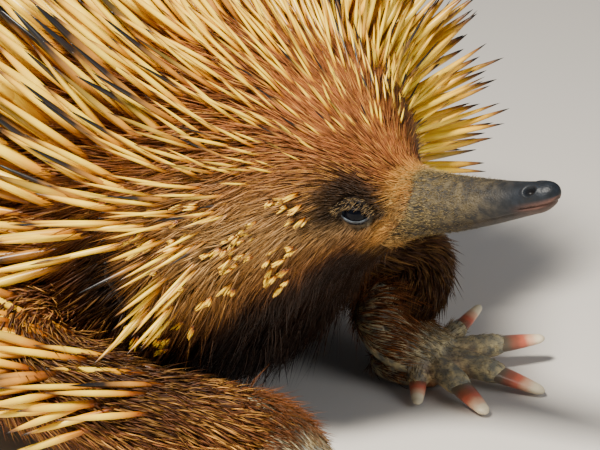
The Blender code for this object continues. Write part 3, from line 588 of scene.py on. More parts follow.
def tapers(name, roots, directions, normals, length, radius, places, values, sides, flat, curl, profile):
    """Many tapering locks or spines as one mesh. Each follows p(t) = root + length (t d + t^2 / 2 (e - d)),
    where d is its first direction and e its last, curl towards the surface; its section at t is an oval of
    radius times the profile's width at t, flat times as thick, and it ends in a point. The map gives each
    one a small patch at its root's place, around across and t up."""
    stations, widths = np.array(profile).T
    count, rings = len(roots), len(stations)
    last = unit(directions - normals * np.reshape(curl, (-1, 1)))
    t = stations[None, :, None]
    bend = (last - directions)[:, None] / 2
    length = np.reshape(length, (-1, 1, 1))
    path = roots[:, None] + length * (t * directions[:, None] + np.sign(t) * t * t * bend)
    tip = roots + length[:, 0] * (directions + bend[:, 0])
    across = unit(np.cross(directions, normals))
    thick = np.cross(across, directions)
    turn = full_turn(sides) + math.pi / sides
    size = (np.reshape(radius, (-1, 1)) * widths)[..., None]
    ring = placed(
        path[:, :, None],
        (size * np.cos(turn), across[:, None, None]),
        (size * np.sin(turn) * flat, thick[:, None, None]),
    )
    each = rings * sides + 1
    points = np.concatenate([ring.reshape(count, -1, 3), tip[:, None]], 1).reshape(-1, 3)
    points[:, 2] = np.maximum(points[:, 2], FLOOR_ROOM)
    k = np.arange(sides)
    fan = np.stack([k, (k + 1) % sides, np.full(sides, sides)], -1) + (rings - 1) * sides
    cap = k[::-1]
    quads = grid_faces(rings, sides)
    template = np.concatenate([quads.ravel(), fan.ravel(), cap])
    sizes = np.concatenate([np.full(len(quads), 4), np.full(sides, 3), [sides]])
    loops = (np.arange(count)[:, None] * each + template).ravel()
    up = np.append(np.repeat(np.maximum(stations, 0), sides), 1.0)
    around_quads = np.tile(np.stack([k, k + 1, k + 1, k], -1).ravel(), rings - 1)
    around_fan = np.stack([k, k + 1, k + 0.5], -1).ravel()
    around = np.concatenate([around_quads, around_fan, cap]) / sides
    patch = np.stack([around, up[template]], -1) - 0.5
    uv = (places[:, None] + patch * PATCH).reshape(-1, 2)
    attributes = {key: np.repeat(value, each, axis=0) for key, value in values.items()}
    attributes["along"] = np.tile(up, count)
    return make_piece(name, points, loops, np.tile(sizes, count), attributes, uv)


def tufts(name, root, direction, normal, length, radius, tint, places, **shape):
    """Tapers of three sides, as tufts of hair."""
    shape = {"flat": 0.55, "curl": 0.3, "profile": FUR_PROFILE, **shape}
    values = {"tint": tint}
    return tapers(name, root, direction, normal, length, radius, places, values, sides=3, **shape)


def quills(name, keep, rows, sides=8, flat=1.0, profile=SPINE_PROFILE):
    """Tapers with a tone each, as spines. rows are their roots, directions, normals, lengths, radii, curls,
    tones and places on the map, of which those that keep picks are made."""
    root, direction, normal, length, radius, curl, tone, places = (v[keep] for v in rows)
    values = {"tone": tone}
    return tapers(name, root, direction, normal, length, radius, places, values, sides, flat, curl, profile)


# Colours

def linear(code):
    """An sRGB hex colour as linear red, green and blue."""
    srgb = np.array([int(code[k : k + 2], 16) for k in (1, 3, 5)]) / 255
    return np.where(srgb <= 0.04045, srgb / 12.92, ((srgb + 0.055) / 1.055) ** 2.4)


RUSSET, GOLD, UMBER, SABLE = map(linear, ("#7f4a23", "#c28b40", "#4c2c16", "#1b120c"))
TAN, STRAW = linear("#a4885c"), linear("#a08a5a")
LEATHER, LEATHER_FUZZ = linear("#2a2825"), linear("#564c37")
SNOUT, SNOUT_LIGHT, LIP = map(linear, ("#101419", "#1c2128", "#5f4138"))
PAW, PAW_LIGHT = linear("#77766a"), linear("#c2b184")
PAD, PAD_LIGHT, SOLE = map(linear, ("#a35c2c", "#dcae80", "#7a5a48"))
LID_RIM, LID_SKIN = linear("#646d76"), linear("#2e2926")
# The pit colour is near black: painted shade in the ears' hollows and the nostrils.
EAR_RIM, PIT_SHADE = linear("#1e1611"), linear("#0b0706")


def mixed(base, colour, share):
    """The base with a share of the colour, in a straight line between them."""
    share = np.clip(share, 0, 1)[..., None]
    return base * (1 - share) + colour * share


def coat_colour(s, angle):
    """The coat's colour by place: russet over the head, golden at the beak's root, sable round the eye, dark
    under the throat and between the spines of the back, in both places partly the coat's own dark fur and
    partly painted shade, with slow streaks. Each row lays a colour over the last."""
    side = np.abs(angle)
    streak = 0.5 + 0.5 * np.sin(7 * angle + 0.05 * s + 1.7 * np.sin(0.06 * s))
    golden = ease((s - 250) / 30) * (1 - 0.7 * ease((s - 288) / 16))
    ahead = s - 5 * np.cos(angle)
    patch = bell(np.maximum(near_eye(s, angle) - 8.5, 0) / 6.5) * (1 - 0.75 * ease((side - 1.5) / 0.35))
    base = np.broadcast_to(RUSSET, (*np.shape(s), 3))
    for colour, share in (
        (UMBER, 0.3 * streak),
        # Darker towards the back: partly the coat's own darker fur, partly painted shade between the spines.
        (UMBER, 0.85 * ease((258 - s) / 50)),
        (SABLE, 0.65 * ease((246 - s) / 55)),
        (GOLD, 0.52 * bell((side - 1.7) / 0.45) * golden),
        (TAN, 0.6 * bell((side - 1.6) / 0.45) * ease((s - 258) / 20)),
        # Dark under the throat and neck: partly the coat's own dark fur, partly painted shade under the head.
        (SABLE, 0.92 * ease((side - 2.0) / 0.4) * ease((s - 190) / 50)),
        (SABLE, 0.6 * bell((side - 1.85) / 0.35) * bell((s - 246) / 22)),
        (GOLD, 0.8 * bell((ahead - 326) / 4) * (1 - 0.8 * ease((side - 2.3) / 0.3))),
        (SABLE, 0.93 * patch),
    ):
        base = mixed(base, colour, share)
    return base


# Places on the skin

def spread(count, rng):
    """Evenly spread pairs of numbers from 0 to 1: the additive recurrence of the plastic number, with
    jitter."""
    n = np.arange(count)[:, None] + rng.random()
    even = np.mod(n * np.array((0.7548776662, 0.5698402910)) + 0.5, 1)
    return np.mod(even + rng.normal(0, 0.0015, (count, 2)), 1)


def trunk_places(count, density, rng):
    """Places (s, angle) whose number in each mm^2 follows a table of density by s."""
    s = np.linspace(density[0][0], density[-1][0], 400)
    girth = 2 * math.pi * by_station(OUTLINE, s) * np.sqrt(np.clip(s / RUMP_ROUND, 0.05, 1))
    total = np.cumsum(girth * by_station(density, s))
    pair = spread(count, rng)
    return np.interp(pair[:, 0] * total[-1], total, s), (pair[:, 1] * 2 - 1) * math.pi


def leg_places(count, rng):
    """Pairs for a leg or the tail: a share of its length, and a turn round it."""
    pair = spread(count, rng)
    return pair[:, 0], pair[:, 1] * 2 * math.pi


def trunk_uv(s, angle):
    """The unwrap of the trunk: angle across and s up, over the lower part of the map."""
    return np.stack([0.01 + 0.98 * (angle / (2 * math.pi) + 0.5), 0.01 + 0.64 * s / 390], -1)


def limb_uv(name, t, angle):
    """The unwrap of a leg: a patch over the trunk's on the map, angle across and share of its length up."""
    column = list(LIMBS).index(name) + np.mod(angle / (2 * math.pi), 1)
    return np.stack([0.02 + 0.24 * column, 0.68 + 0.14 * np.clip(t, 0, 1)], -1)


def foot_uv(name, point, heel):
    """The unwrap of a foot: its upper side laid flat, in a patch over its leg's on the map."""
    flat = np.clip((point - heel)[:, :2] / 160 + 0.5, 0, 1)
    return np.stack([0.02 + 0.24 * (list(FEET).index(name) + flat[:, 0]), 0.84 + 0.14 * flat[:, 1]], -1)


def in_trunk(points, grow):
    """Whether points lie inside the body's outline grown by grow."""
    flat = np.hypot(points[:, None, 0] - PLAN_X, points[:, None, 1] - PLAN_Y)
    s = PLAN_S[np.argmin(flat, 1)].astype(float)
    turn = heading(s)
    middle = along_head(s, 0, 0)
    side = (points[:, 1] - middle[:, 1]) * np.cos(turn) - (points[:, 0] - middle[:, 0]) * np.sin(turn)
    top, under, level = side_heights(s)
    reach = np.where(points[:, 2] > level, top - level, level - under) + grow
    return np.hypot(side / (by_station(OUTLINE, s) + grow), (points[:, 2] - level) / reach) < 1


def in_limb(points, grow):
    """Whether points lie inside any leg's oval, about the nearest place on its middle line, grown by
    grow."""
    found = np.zeros(len(points), bool)
    t = np.linspace(0, 1, 60)
    for controls, fore_aft, across in LIMBS.values():
        path = bezier(controls, t)
        nearest = np.argmin(np.linalg.norm(points[:, None] - path, axis=2), 1)
        share = t[nearest] ** LIMB_TAPER
        off = points - path[nearest]
        z, x, y = (dots(off, direction[nearest]) for direction in tube_frame(path, AHEAD))
        flat = np.hypot(x / (lerp(fore_aft, share) + grow), y / (lerp(across, share) + grow))
        found |= (flat < 1) & (np.abs(z) < 12 + grow)
    return found


def near_ear(points):
    """Distance from the nearer ear's middle, in the ear's own half sizes."""
    nearest = np.full(len(points), 1e3)
    for side in (-1, 1):
        middle, out, back, up = ear_frame(side)
        off = points - middle
        apart = np.hypot(off @ back / EAR_SIZE[0], off @ up / EAR_SIZE[1])
        nearest = np.where(np.abs(off @ out) < 20, np.minimum(nearest, apart), nearest)
    return nearest


def clear_of(room, s, angle, points):
    """Whether points keep the given room from the eyes and the ears."""
    return (near_eye(s, angle) > room[0]) & (near_ear(points) > room[1])


# Fur

LOCK_TABLE = np.random.default_rng(SEED + 1).normal(0, 1, (4096, 3)).clip(-2, 2)


def lock_of(a, b):
    """Three random numbers for the lock that a place lies in, the same all over one wavy cell of the skin.
    Two primes scatter neighbouring cells over the table."""
    i = np.floor((a + 1.6 * np.sin(b * 1.1)) / LOCK).astype(np.int64)
    k = np.floor((b + 1.6 * np.sin(a * 0.9)) / LOCK * 1.3).astype(np.int64)
    return LOCK_TABLE[np.mod(i * 7919 + k * 104729, len(LOCK_TABLE))]


def downhill(normal):
    """The way down, less its part along the normal."""
    return -UP + normal * normal[:, 2:]


def trunk_lie(s, angle, back, normal, lock, rng):
    """The lie of the hair: rearward, drifting down on the flanks and hanging under the throat, parted round
    the eyes, in slow waves and in locks."""
    drift = 0.3 + 0.9 * ease((np.abs(angle) - 1.5) / 0.6) * ease((s - 180) / 50) * (1 - ease((s - 300) / 20))
    lie = back + downhill(normal) * drift[:, None]
    here = body_point(s, angle)
    for mark in EYE_MARKS:
        off = along_skin(here - mark, normal)
        apart = np.linalg.norm(off, axis=1, keepdims=True)
        lie += 0.9 * off / np.maximum(apart, 1) * bell(apart / 9)
    lie = unit(lie)
    wave = 0.14 * np.sin(0.11 * s + 5 * angle) + 0.1 * np.sin(0.23 * s - 9 * angle)
    wave += 0.13 * lock[:, 0] + rng.normal(0, 0.1, len(s))
    wave *= 1 - 0.5 * ease((s - 295) / 15)
    return tilted(lie, np.cross(normal, lie), wave)


def trunk_fur(name, count, density, rng, profile=FUR_PROFILE, longer=1.0, wider=1.0):
    """Tufts over a stretch of the trunk and head, lying as trunk_lie says. They end along a line that dips
    back over the beak and under the throat. They are shorter round the eyes and ears, and longer under the
    neck."""
    s, angle = trunk_places(count, density, rng)
    point, normal, back = surface_frame(hide, s, angle)
    keep = clear_of(FUR_CLEAR, s, angle, point) & ~in_limb(point, -3)
    keep &= s < FUR_END - 3 * ease((0.9 - np.abs(angle)) / 0.6) - 12 * ease((np.abs(angle) - 1.5) / 1.2)
    s, angle, point, normal, back = (v[keep] for v in (s, angle, point, normal, back))
    side, eye_apart = np.abs(angle), near_eye(s, angle)
    ear_apart = np.maximum(near_ear(point) - 1, 0)
    lock = lock_of(s, angle * by_station(OUTLINE, s))
    lie = trunk_lie(s, angle, back, normal, lock, rng)
    rise = np.radians(by_station(FUR_RISES, s)) * bounded_noise(rng, len(s), 0.25) * (1 + 0.16 * lock[:, 1])
    length = by_station(FUR_LENGTHS, s) * bounded_noise(rng, len(s), 0.2) * longer * (1 + 0.08 * lock[:, 2])
    length *= (1 - 0.66 * bell(eye_apart / 10)) * (1 - 0.5 * bell(ear_apart / 0.7))
    belly = ease((side - 1.9) / 0.5)
    length *= 1 + belly * (0.9 * bell((s - 255) / 30) - 0.3 * ease((150 - s) / 60))
    radius = by_station(FUR_WIDTHS, s) * bounded_noise(rng, len(s), 0.2) * wider
    uneven = bounded_noise(rng, len(s), 0.26) ** (1 - 0.4 * ease((s - 295) / 15))
    tint = coat_colour(s, angle) * (uneven * (1 + 0.12 * lock[:, 1]))[:, None]
    bright = (rng.random(len(s)) < 0.14) & (eye_apart > 12) & (side < 2.2) & (s > 215)
    # Tufts round each ear are darkened towards sable: painted shade of the ear's hollow.
    tint = mixed(mixed(tint, GOLD, 0.6 * bright), SABLE, 0.9 * bell(ear_apart / 1.5))
    curl = 0.3 - 0.2 * ease((s - 285) / 25)
    return tufts(
        name, point, tilted(lie, normal, rise), normal, length, radius, tint, trunk_uv(s, angle),
        curl=curl, profile=profile,
    )


def beak_fuzz(name, count, rng):
    """Short fine hairs over the root and the middle of the beak, golden at the coat's edge and thinning out
    with the square of a random number towards the tip. One in eight lies forward."""
    s = 323 + 36 * rng.random(count) ** 2
    angle = (rng.random(count) * 2 - 1) * math.pi
    s += 4 * np.cos(angle)
    clear = near_eye(s, angle) > FUZZ_CLEAR
    s, angle, count = s[clear], angle[clear], np.count_nonzero(clear)
    point, normal, back = surface_frame(hide, s, angle)
    share = np.clip((s - 322) / 36, 0, 1)
    turn = np.where(rng.random(count) < 0.12, 1.0, -1.0)[:, None]
    lie = unit(back * turn + rng.normal(0, 0.28, point.shape))
    length = (3.3 - 2.5 * share**0.5) * bounded_noise(rng, count, 0.3)
    tint = mixed(mixed(GOLD, STRAW, 0.5 + 0.5 * ease(share * 3)), LEATHER_FUZZ, share)
    tint = tint * bounded_noise(rng, count, 0.3)[:, None]
    direction, radius = unit(lie + normal * 0.45), 0.085 - 0.025 * share
    places = trunk_uv(s, angle)
    return tufts(name, point, direction, normal, length, radius, tint, places, flat=0.7, curl=0.4)


def brow_hair(name, count, rng):
    """Short tan and sable hairs that reach over each upper lid, rooted in a band of half an oval above the
    eye."""
    parts = []
    for side in (-1, 1):
        centre, out, forward, up = eye_frame(side)
        turn = rng.uniform(0.1, math.pi - 0.1, count)
        reach = rng.uniform(0.1, 1, count)
        x, y = (5.0 + 2.6 * reach) * np.cos(turn), (2.3 + 3.4 * reach) * np.sin(turn)
        point = placed(centre, (x, forward), (y, up), (5.0 - 1.4 * reach, out))
        direction = placed(-0.6 * forward, (-(0.15 + 0.5 * (1 - reach)), up)) + 0.45 * out
        direction = unit(direction + rng.normal(0, 0.16, point.shape))
        normal = np.broadcast_to(out, point.shape)
        parts.append((point, direction, normal, reach, np.full(count, float(side))))
    point, direction, normal, reach, side = joined(parts)
    number = len(point)
    tint = mixed(TAN, SABLE, np.where(rng.random(number) < 0.68, 0.9, 0.2) + 0.2 * reach)
    length = rng.uniform(1.6, 2.8, number)
    places = trunk_uv(EYE_AT + reach * 4, side * (EYE_ANGLE - 0.4 * reach))
    return tufts(name, point, direction, normal, length, 0.1, tint, places, flat=0.7, curl=0.5)


def tail_fur(name, count, rng):
    """Short hair over the tail, lying away along it."""
    share, angle = leg_places(count, rng)
    t = 0.25 + 0.75 * share
    point = tail(t, angle)
    root, away, _ = tail_frame()
    normal = unit(point - placed(root, (TAIL_LENGTH * t, away)) + away * 0.05)
    direction = unit(away + normal * 0.45 + rng.normal(0, 0.15, point.shape))
    length = 11 * bounded_noise(rng, count, 0.25)
    tint = mixed(UMBER, SABLE, rng.random(count) * 0.7) * bounded_noise(rng, count, 0.25)[:, None]
    places = np.stack([0.01 + 0.98 * angle / (2 * math.pi), 0.01 + 0.02 * t], -1)
    return tufts(name, point, direction, normal, length, 0.4, tint, places)


def leg_fur(name, legs, count, rng):
    """Tufts over a pair of legs, lying down towards the feet in slow waves and in locks. Their colour carries
    painted shade: the left foreleg is dark all over as painted shadow of the head, the right one on its outer
    side as painted shade among its spines, and every leg near its top as painted shade under the body."""
    parts = []
    for leg in legs:
        share, angle = leg_places(count // 2, rng)
        t = 1.03 * share
        point, normal, back = surface_frame(lambda a, b, leg=leg: limb(leg, a, b), t, angle, 0.01)
        normal *= np.sign(dots(normal, point - bezier(LIMBS[leg][0], t)))[:, None]
        keep = ~in_trunk(point, -6)
        # Painted shade: the left foreleg's fur is darkened all over for the head's shadow, the right one's on
        # its outer, spiny side.
        outer = ease((normal @ (0, -0.45, 0.9) - 0.05) / 0.3) * ease((0.95 - t) / 0.12)
        deep = (0.58 + 0.34 * ease((0.4 - t) / 0.25)) * outer
        shade = np.full(len(t), 0.84) if leg == "foreleg_left" else deep * (leg == "foreleg_right")
        rows = (point, normal, unit(-back - 0.25 * UP), t, shade, limb_uv(leg, t, angle))
        parts.append([v[keep] for v in rows])
    point, normal, lie, t, shade, places = joined(parts)
    count = len(point)
    x, y, z = point.T
    lock = lock_of(x + z * 0.6, y + z * 0.5)
    wave = 0.2 * np.sin(0.12 * x + 0.1 * z) + 0.16 * lock[:, 0] + rng.normal(0, 0.13, count)
    lie = tilted(lie, np.cross(normal, lie), wave)
    rise = np.radians(24 - 4 * t) * bounded_noise(rng, count, 0.3) * (1 + 0.2 * lock[:, 1])
    length = (18 - 9 * t) * bounded_noise(rng, count, 0.22) * (1 - 0.3 * shade)
    radius = (0.52 - 0.22 * t) * bounded_noise(rng, count, 0.2)
    tint = mixed(UMBER * 1.5, RUSSET, rng.random(count) * 0.9) * (1 + 0.14 * lock[:, 2])[:, None]
    tint = mixed(tint, GOLD, 0.7 * (rng.random(count) < 0.4))
    # Painted shade near the top of each leg, under the body, together with the shade mask.
    tint = mixed(tint, SABLE, np.maximum(shade, 0.6 * ease((0.55 - t) / 0.3)))
    tint = tint * bounded_noise(rng, count, 0.28)[:, None]
    return tufts(name, point, unit(tilted(lie, normal, rise)), normal, length, radius, tint, places)


# Spines

def ruff(s, angle):
    """From 0 to 1 at the inner side of the turn, where the spines stand out beside the head: a product of
    eases along the body and down its left side."""
    start = ease((s - RUFF_START) / (RUFF_FULL - RUFF_START))
    end = np.clip((RUFF_LAST - s) / (RUFF_LAST - TORSO_END) * 1.8, 0, 1)
    low, high = RUFF_ANGLES
    return start * end * ease((angle - low) / (high - low)) * (1 - ease((angle - 1.55) / 0.35))


def spine_places(rng):
    """Places on the part of the coat with spines, spread at the table's spacing and shaken by a quarter of
    it."""
    s = np.arange(*SPINE_ENDS)
    density = tuple((row[0], row[1] ** -2) for row in SPINE_SPACING)
    total = np.sum(2 * math.pi * by_station(OUTLINE, s) * by_station(density, s))
    s, angle = trunk_places(int(1.05 * total), density, rng)
    spacing = by_station(SPINE_SPACING, s)
    s = np.clip(s + rng.normal(0, 0.25, len(s)) * spacing, *SPINE_ENDS)
    angle = angle + rng.normal(0, 0.25, len(s)) * spacing / by_station(OUTLINE, s)
    keep = np.abs(angle) < np.radians(by_station(SPINE_LIMITS, s))
    return s[keep], angle[keep]


def trunk_spines(rng):
    """The places, directions and sizes of the spines over the trunk, neck and head. They lean back, are
    raised beside the neck, hang on the flanks, and stand out and upward in the ruff. Those that would reach
    into a leg, an ear or the floor are left out."""
    s, angle = spine_places(rng)
    point, normal, back = surface_frame(hide, s, angle)
    keep = clear_of(SPINE_CLEAR, s, angle, point) & ~in_limb(point, 0)
    s, angle, point, normal, back = (v[keep] for v in (s, angle, point, normal, back))
    side, stand = np.abs(angle), ruff(s, angle)
    flare = ease((-angle - 1.5) / 0.5) * bell((s - 258) / 30)
    lean = np.radians(by_station(SPINE_LEANS, s) * (1 - RUFF_RISE * stand) * (1 - 0.4 * flare))
    direction = tilted(normal, back, lean)
    raised = 0.6 * bell((side - 1.05) / 0.45) * bell((s - 250) / 36)
    drooped = 0.3 * ease((side - 1.1) / 0.6) * (1 - flare)
    direction[:, 2] += (raised - drooped) * (1 - stand)
    direction[:, 2] += 0.5 * stand * bell((angle - 1.05) / 0.35)
    direction = unit(direction + rng.normal(0, 0.085, point.shape))
    edge = np.clip(side / np.radians(by_station(SPINE_LIMITS, s)), 0, 1) ** 3
    length = lerp((by_station(SPINE_LENGTHS, s), RUFF_LENGTH), stand) * (1 - 0.3 * edge)
    length = (length + by_station(FUR_DEPTH, s)) * rng.uniform(0.8, 1.1, len(s))
    radius = by_station(SPINE_RADII, s) * (1 - 0.15 * edge) * rng.uniform(0.72, 1.15, len(s))
    tip = point + direction * length[:, None]
    clear = (tip[:, 2] > 4) & ~in_limb(point + direction * length[:, None] * 0.6, 2) & ~in_limb(tip, 2)
    for part in (0.25, 0.5):
        clear &= near_ear(point + direction * length[:, None] * part) > 0.95
    return [v[clear] for v in (point, direction, normal, length, radius, s, angle)]


def make_spines(rng):
    """Spines of eight sides on the body and six on the crown, in pieces by their place."""
    point, direction, normal, length, radius, s, angle = trunk_spines(rng)
    tone = rng.random(len(s)) * (1 - 0.35 * ruff(s, angle))
    curl = rng.normal(0.12, 0.13, len(s))
    rows = (point, direction, normal, length, radius, curl, tone, trunk_uv(s, angle))
    for name, low, high, sides in (
        ("spines_back", 0, 120, 8), ("spines_shoulder", 120, NECK_END, 8), ("spines_crown", NECK_END, 400, 6),
    ):
        yield quills(name, (s >= low) & (s < high), rows, sides)


def leg_spines(rng):
    """Spines that carry the coat of spines down over the outer side of each upper foreleg, swept back and
    down and growing sparser and shorter towards the foot."""
    parts = []
    for name, side, last, sweep in (
        ("foreleg_right", -1, 0.86, (-0.35, -0.9, -0.12)), ("foreleg_left", 1, 0.45, (-0.9, 0.3, -0.3)),
    ):
        pair = spread(LEG_SPINES, rng) + rng.normal(0, 0.012, (LEG_SPINES, 2))
        t, angle = 0.02 + last * pair[:, 0], pair[:, 1] * 2 * math.pi
        point = limb(name, t, angle)
        normal = unit(point - bezier(LIMBS[name][0], t))
        direction = unit(normal * 0.42 + sweep + rng.normal(0, 0.12, point.shape))
        keep = (normal @ (0, side * 0.45, 0.9) > 0.15) & ~in_trunk(point, -3)
        keep &= rng.random(len(t)) < 1 - 0.9 * ease((t - 0.4) / 0.4)
        parts.append([v[keep] for v in (point, direction, normal, t, limb_uv(name, t, angle))])
    point, direction, normal, t, places = joined(parts)
    length = rng.uniform(*LEG_SPINE_LENGTHS, len(t)) * (1 - 0.4 * t)
    radius = rng.uniform(*LEG_SPINE_RADII, len(t)) * (1 - 0.45 * t)
    rows = (point, direction, normal, length, radius, np.full(len(t), 0.1), rng.random(len(t)), places)
    return quills("spines_foreleg", (point + direction * length[:, None])[:, 2] > 5, rows)


def tail_spines(rng):
    """A fan of spines round the end of the tail, each turned from the last by the golden angle."""
    root, away, top = tail_frame()
    k = np.arange(TAIL_SPINES)
    share = 0.5 + 0.44 * (k + 0.5) / TAIL_SPINES
    turn = math.pi * (3 - math.sqrt(5)) * k
    out = tilted(top, LEFT, turn)
    point = placed(root, (TAIL_LENGTH * share, away), (lerp(TAIL_RADII, share) * 0.8, out))
    direction = unit(tilted(away, out, 0.75 - 0.35 * share) + rng.normal(0, 0.08, point.shape))
    length = rng.uniform(*TAIL_SPINE_LENGTHS, TAIL_SPINES)
    places = np.stack([0.3 + 0.4 * np.mod(turn / (2 * math.pi), 1), 0.01 + 0.02 * share], -1)
    radius = TAIL_SPINE_RADIUS * rng.uniform(0.8, 1.2, TAIL_SPINES)
    curl, tone = np.full(TAIL_SPINES, 0.06), rng.random(TAIL_SPINES)
    rows = (point, direction, out, length, radius, curl, tone, places)
    return quills("spines_tail", (point + direction * length[:, None])[:, 2] > 3, rows)


def cheek_stubs(rng):
    """Short worn spines on each cheek, in loose clusters, half in the fur. Each is frayed into a few slivers
    that share its direction, depth and length but for small differences."""
    parts = []
    for side in (-1, 1):
        centres = np.stack([rng.uniform(256, 303, STUB_CLUSTERS), rng.uniform(1.3, 2.2, STUB_CLUSTERS)], -1)
        pick = centres[rng.integers(0, STUB_CLUSTERS, STUBS)] + rng.normal(0, 1, (STUBS, 2)) * (3, 0.06)
        parts.append((pick[:, 0], side * pick[:, 1]))
    s, angle = (np.repeat(v, STUB_SLIVERS) for v in joined(parts))
    s, angle = s + rng.normal(0, 0.35, len(s)), angle + rng.normal(0, 0.008, len(s))
    shared = np.repeat(rng.random((2 * STUBS, 6)), STUB_SLIVERS, axis=0)
    point, normal, back = surface_frame(hide, s, angle)
    lie = unit(back + downhill(normal) * 0.4 + (shared[:, 1:4] - 0.5) * 0.9)
    direction = unit(tilted(lie, normal, 0.1 + 0.35 * shared[:, 0]) + rng.normal(0, 0.09, point.shape))
    deep = by_station(FUR_DEPTH, s) * (1 + 1.1 * ease((np.abs(angle) - 1.6) / 0.6))
    point = placed(point, (deep * (0.5 + 0.6 * shared[:, 4]), normal))
    length = (2 + 5 * shared[:, 5]) * rng.uniform(0.65, 1.1, len(s))
    keep = clear_of(STUB_CLEAR, s, angle, point) & ~in_limb(point, 4)
    radius = np.zeros(len(s))
    radius[keep] = rng.uniform(0.26, 0.5, np.count_nonzero(keep))
    tone = 0.5 + 0.27 * shared[:, 5]
    rows = (point, direction, normal, length, radius, np.full(len(s), 0.1), tone, trunk_uv(s, angle))
    return quills("spines_cheek", keep, rows, 4, 0.75, STUB_PROFILE)


# The skin

def beak_and_trunk(assembly):
    """The skin from rump to beak tip as one grid of hide(s, angle). Under the fur it takes the coat's colour
    darkened, painted shade deep in the coat; on the beak it is leathery with olive fuzz, which turns smooth
    and slaty towards its tip, with a brown lip, a darker underside of painted shade and nostrils painted dark
    as shade in their pits."""
    tip_start = BEAK_TIP - BEAK_TIP_ROUND
    # Rows of the grid, closer together towards both ends, on the face and on the beak
    stations = np.concatenate([
        0.4 + 200 * np.linspace(0, 1, 40)[:-1] ** 1.5,
        np.linspace(200.4, 296, 56)[:-1],
        np.linspace(296, OUTLINE_END, 60)[:-1],
        np.linspace(OUTLINE_END, tip_start, 110)[:-1],
        BEAK_TIP - BEAK_TIP_ROUND * (1 - np.sin(np.linspace(0, math.pi / 2, 26)[:-1])),
    ])
    s, angle = grid_of(stations, np.linspace(-math.pi, math.pi, 128, endpoint=False))
    part = shell(hide(s, angle))
    s = np.append(s.ravel(), (0.4, BEAK_TIP))
    angle = np.append(angle.ravel(), (0, 0))
    bare = ease((s - 7 * np.cos(angle) - 314) / 8)
    reach = (s - HEAD_END) / BEAK_LENGTH
    smooth = ease((reach - 0.4) / 0.4)
    # The coat's colour darkened: painted shade deep in the fur.
    coat_in_shade = coat_colour(s, angle) * 0.45
    beak, fuzz = LEATHER, LEATHER_FUZZ
    for colour, light, share in (
        (SNOUT, SNOUT_LIGHT, smooth),
        (LIP, LIP * 1.4, 0.8 * ease((np.abs(angle) - 1.5) / 0.5) * ease((reach - 0.72) / 0.2)),
        # Darker along the underside of the beak: painted shade below it, like the throat's.
        (SABLE, SABLE * 2, 0.6 * ease((np.abs(angle) - 1.9) / 0.5)),
        # Nostril pits painted near black: painted shade in the holes.
        (PIT_SHADE, PIT_SHADE, 0.9 * bell(near_nostril(s, angle, beak_radius(s)) ** 2)),
    ):
        beak, fuzz = mixed(beak, colour, share), mixed(fuzz, light, share)
    assembly.add_skin(
        part, mixed(coat_in_shade, beak, bare), mixed(coat_in_shade * 1.3, fuzz, bare), 0.7 - 0.2 * smooth * bare,
        1 - 0.75 * smooth,
    )


def legs_and_tail(assembly):
    """The skins of the legs and the tail, dark under their fur: grids of limb(t, angle) and
    of tail(t, angle)."""
    parts = [limb(name, *grid_of(np.linspace(0, 1.055, 46), full_turn(48))) for name in LIMBS]
    for rings in (*parts, tail(*grid_of(np.linspace(0, 1, 24), full_turn(40)))):
        assembly.add_skin(shell(rings), UMBER * 0.4, UMBER * 0.6, 0.9)


def foot_parts(name):
    """A foot's wrist, direction, heel and palm, and for each digit the toe's control points, its half
    widths, and the claw's control points."""
    leg, yaw, side, digits, palm = FEET[name]
    before, ankle = bezier(LIMBS[leg][0], [10 / 11, 1])
    yaw = math.radians(yaw)
    forward = np.array((math.cos(yaw), math.sin(yaw), 0))
    heel = ankle * (1, 1, 0) + forward * 4
    found = []
    for (turn, toe, claw, half, lift), word in zip(digits, DIGIT_NAMES):
        bearing = yaw + side * math.radians(turn)
        away = np.array((math.cos(bearing), math.sin(bearing), 0))
        knuckle = heel + forward * palm[1] * 0.55 + away * 6
        thick, nail = half + 1.6, half * 0.58
        root = knuckle + UP * thick
        arch = knuckle + away * toe / 2 + UP * (thick + 3.2)
        end = knuckle + away * (toe + 2) + UP * (thick * 0.62 + 1.6 + lift / 2)
        slope = unit(end - bezier((root, arch, end), 0.7))
        tip = end + away * claw
        tip[2] = lift + 0.6 + nail * 0.55
        found.append(SimpleNamespace(
            word=word, away=away, toe=(root, arch, end), thick=thick, half=half, nail=nail,
            claw=(end - slope * 3.5, end + slope * claw * 0.4, tip),
        ))
    return SimpleNamespace(before=before, ankle=ankle, forward=forward, heel=heel, digits=found, palm=palm)


def web_middle(one, other):
    """Where the swelling between two toes lies, low between their middles."""
    return (bezier(one.toe, 0.45) + bezier(other.toe, 0.45)) / 2 - 3.5 * UP


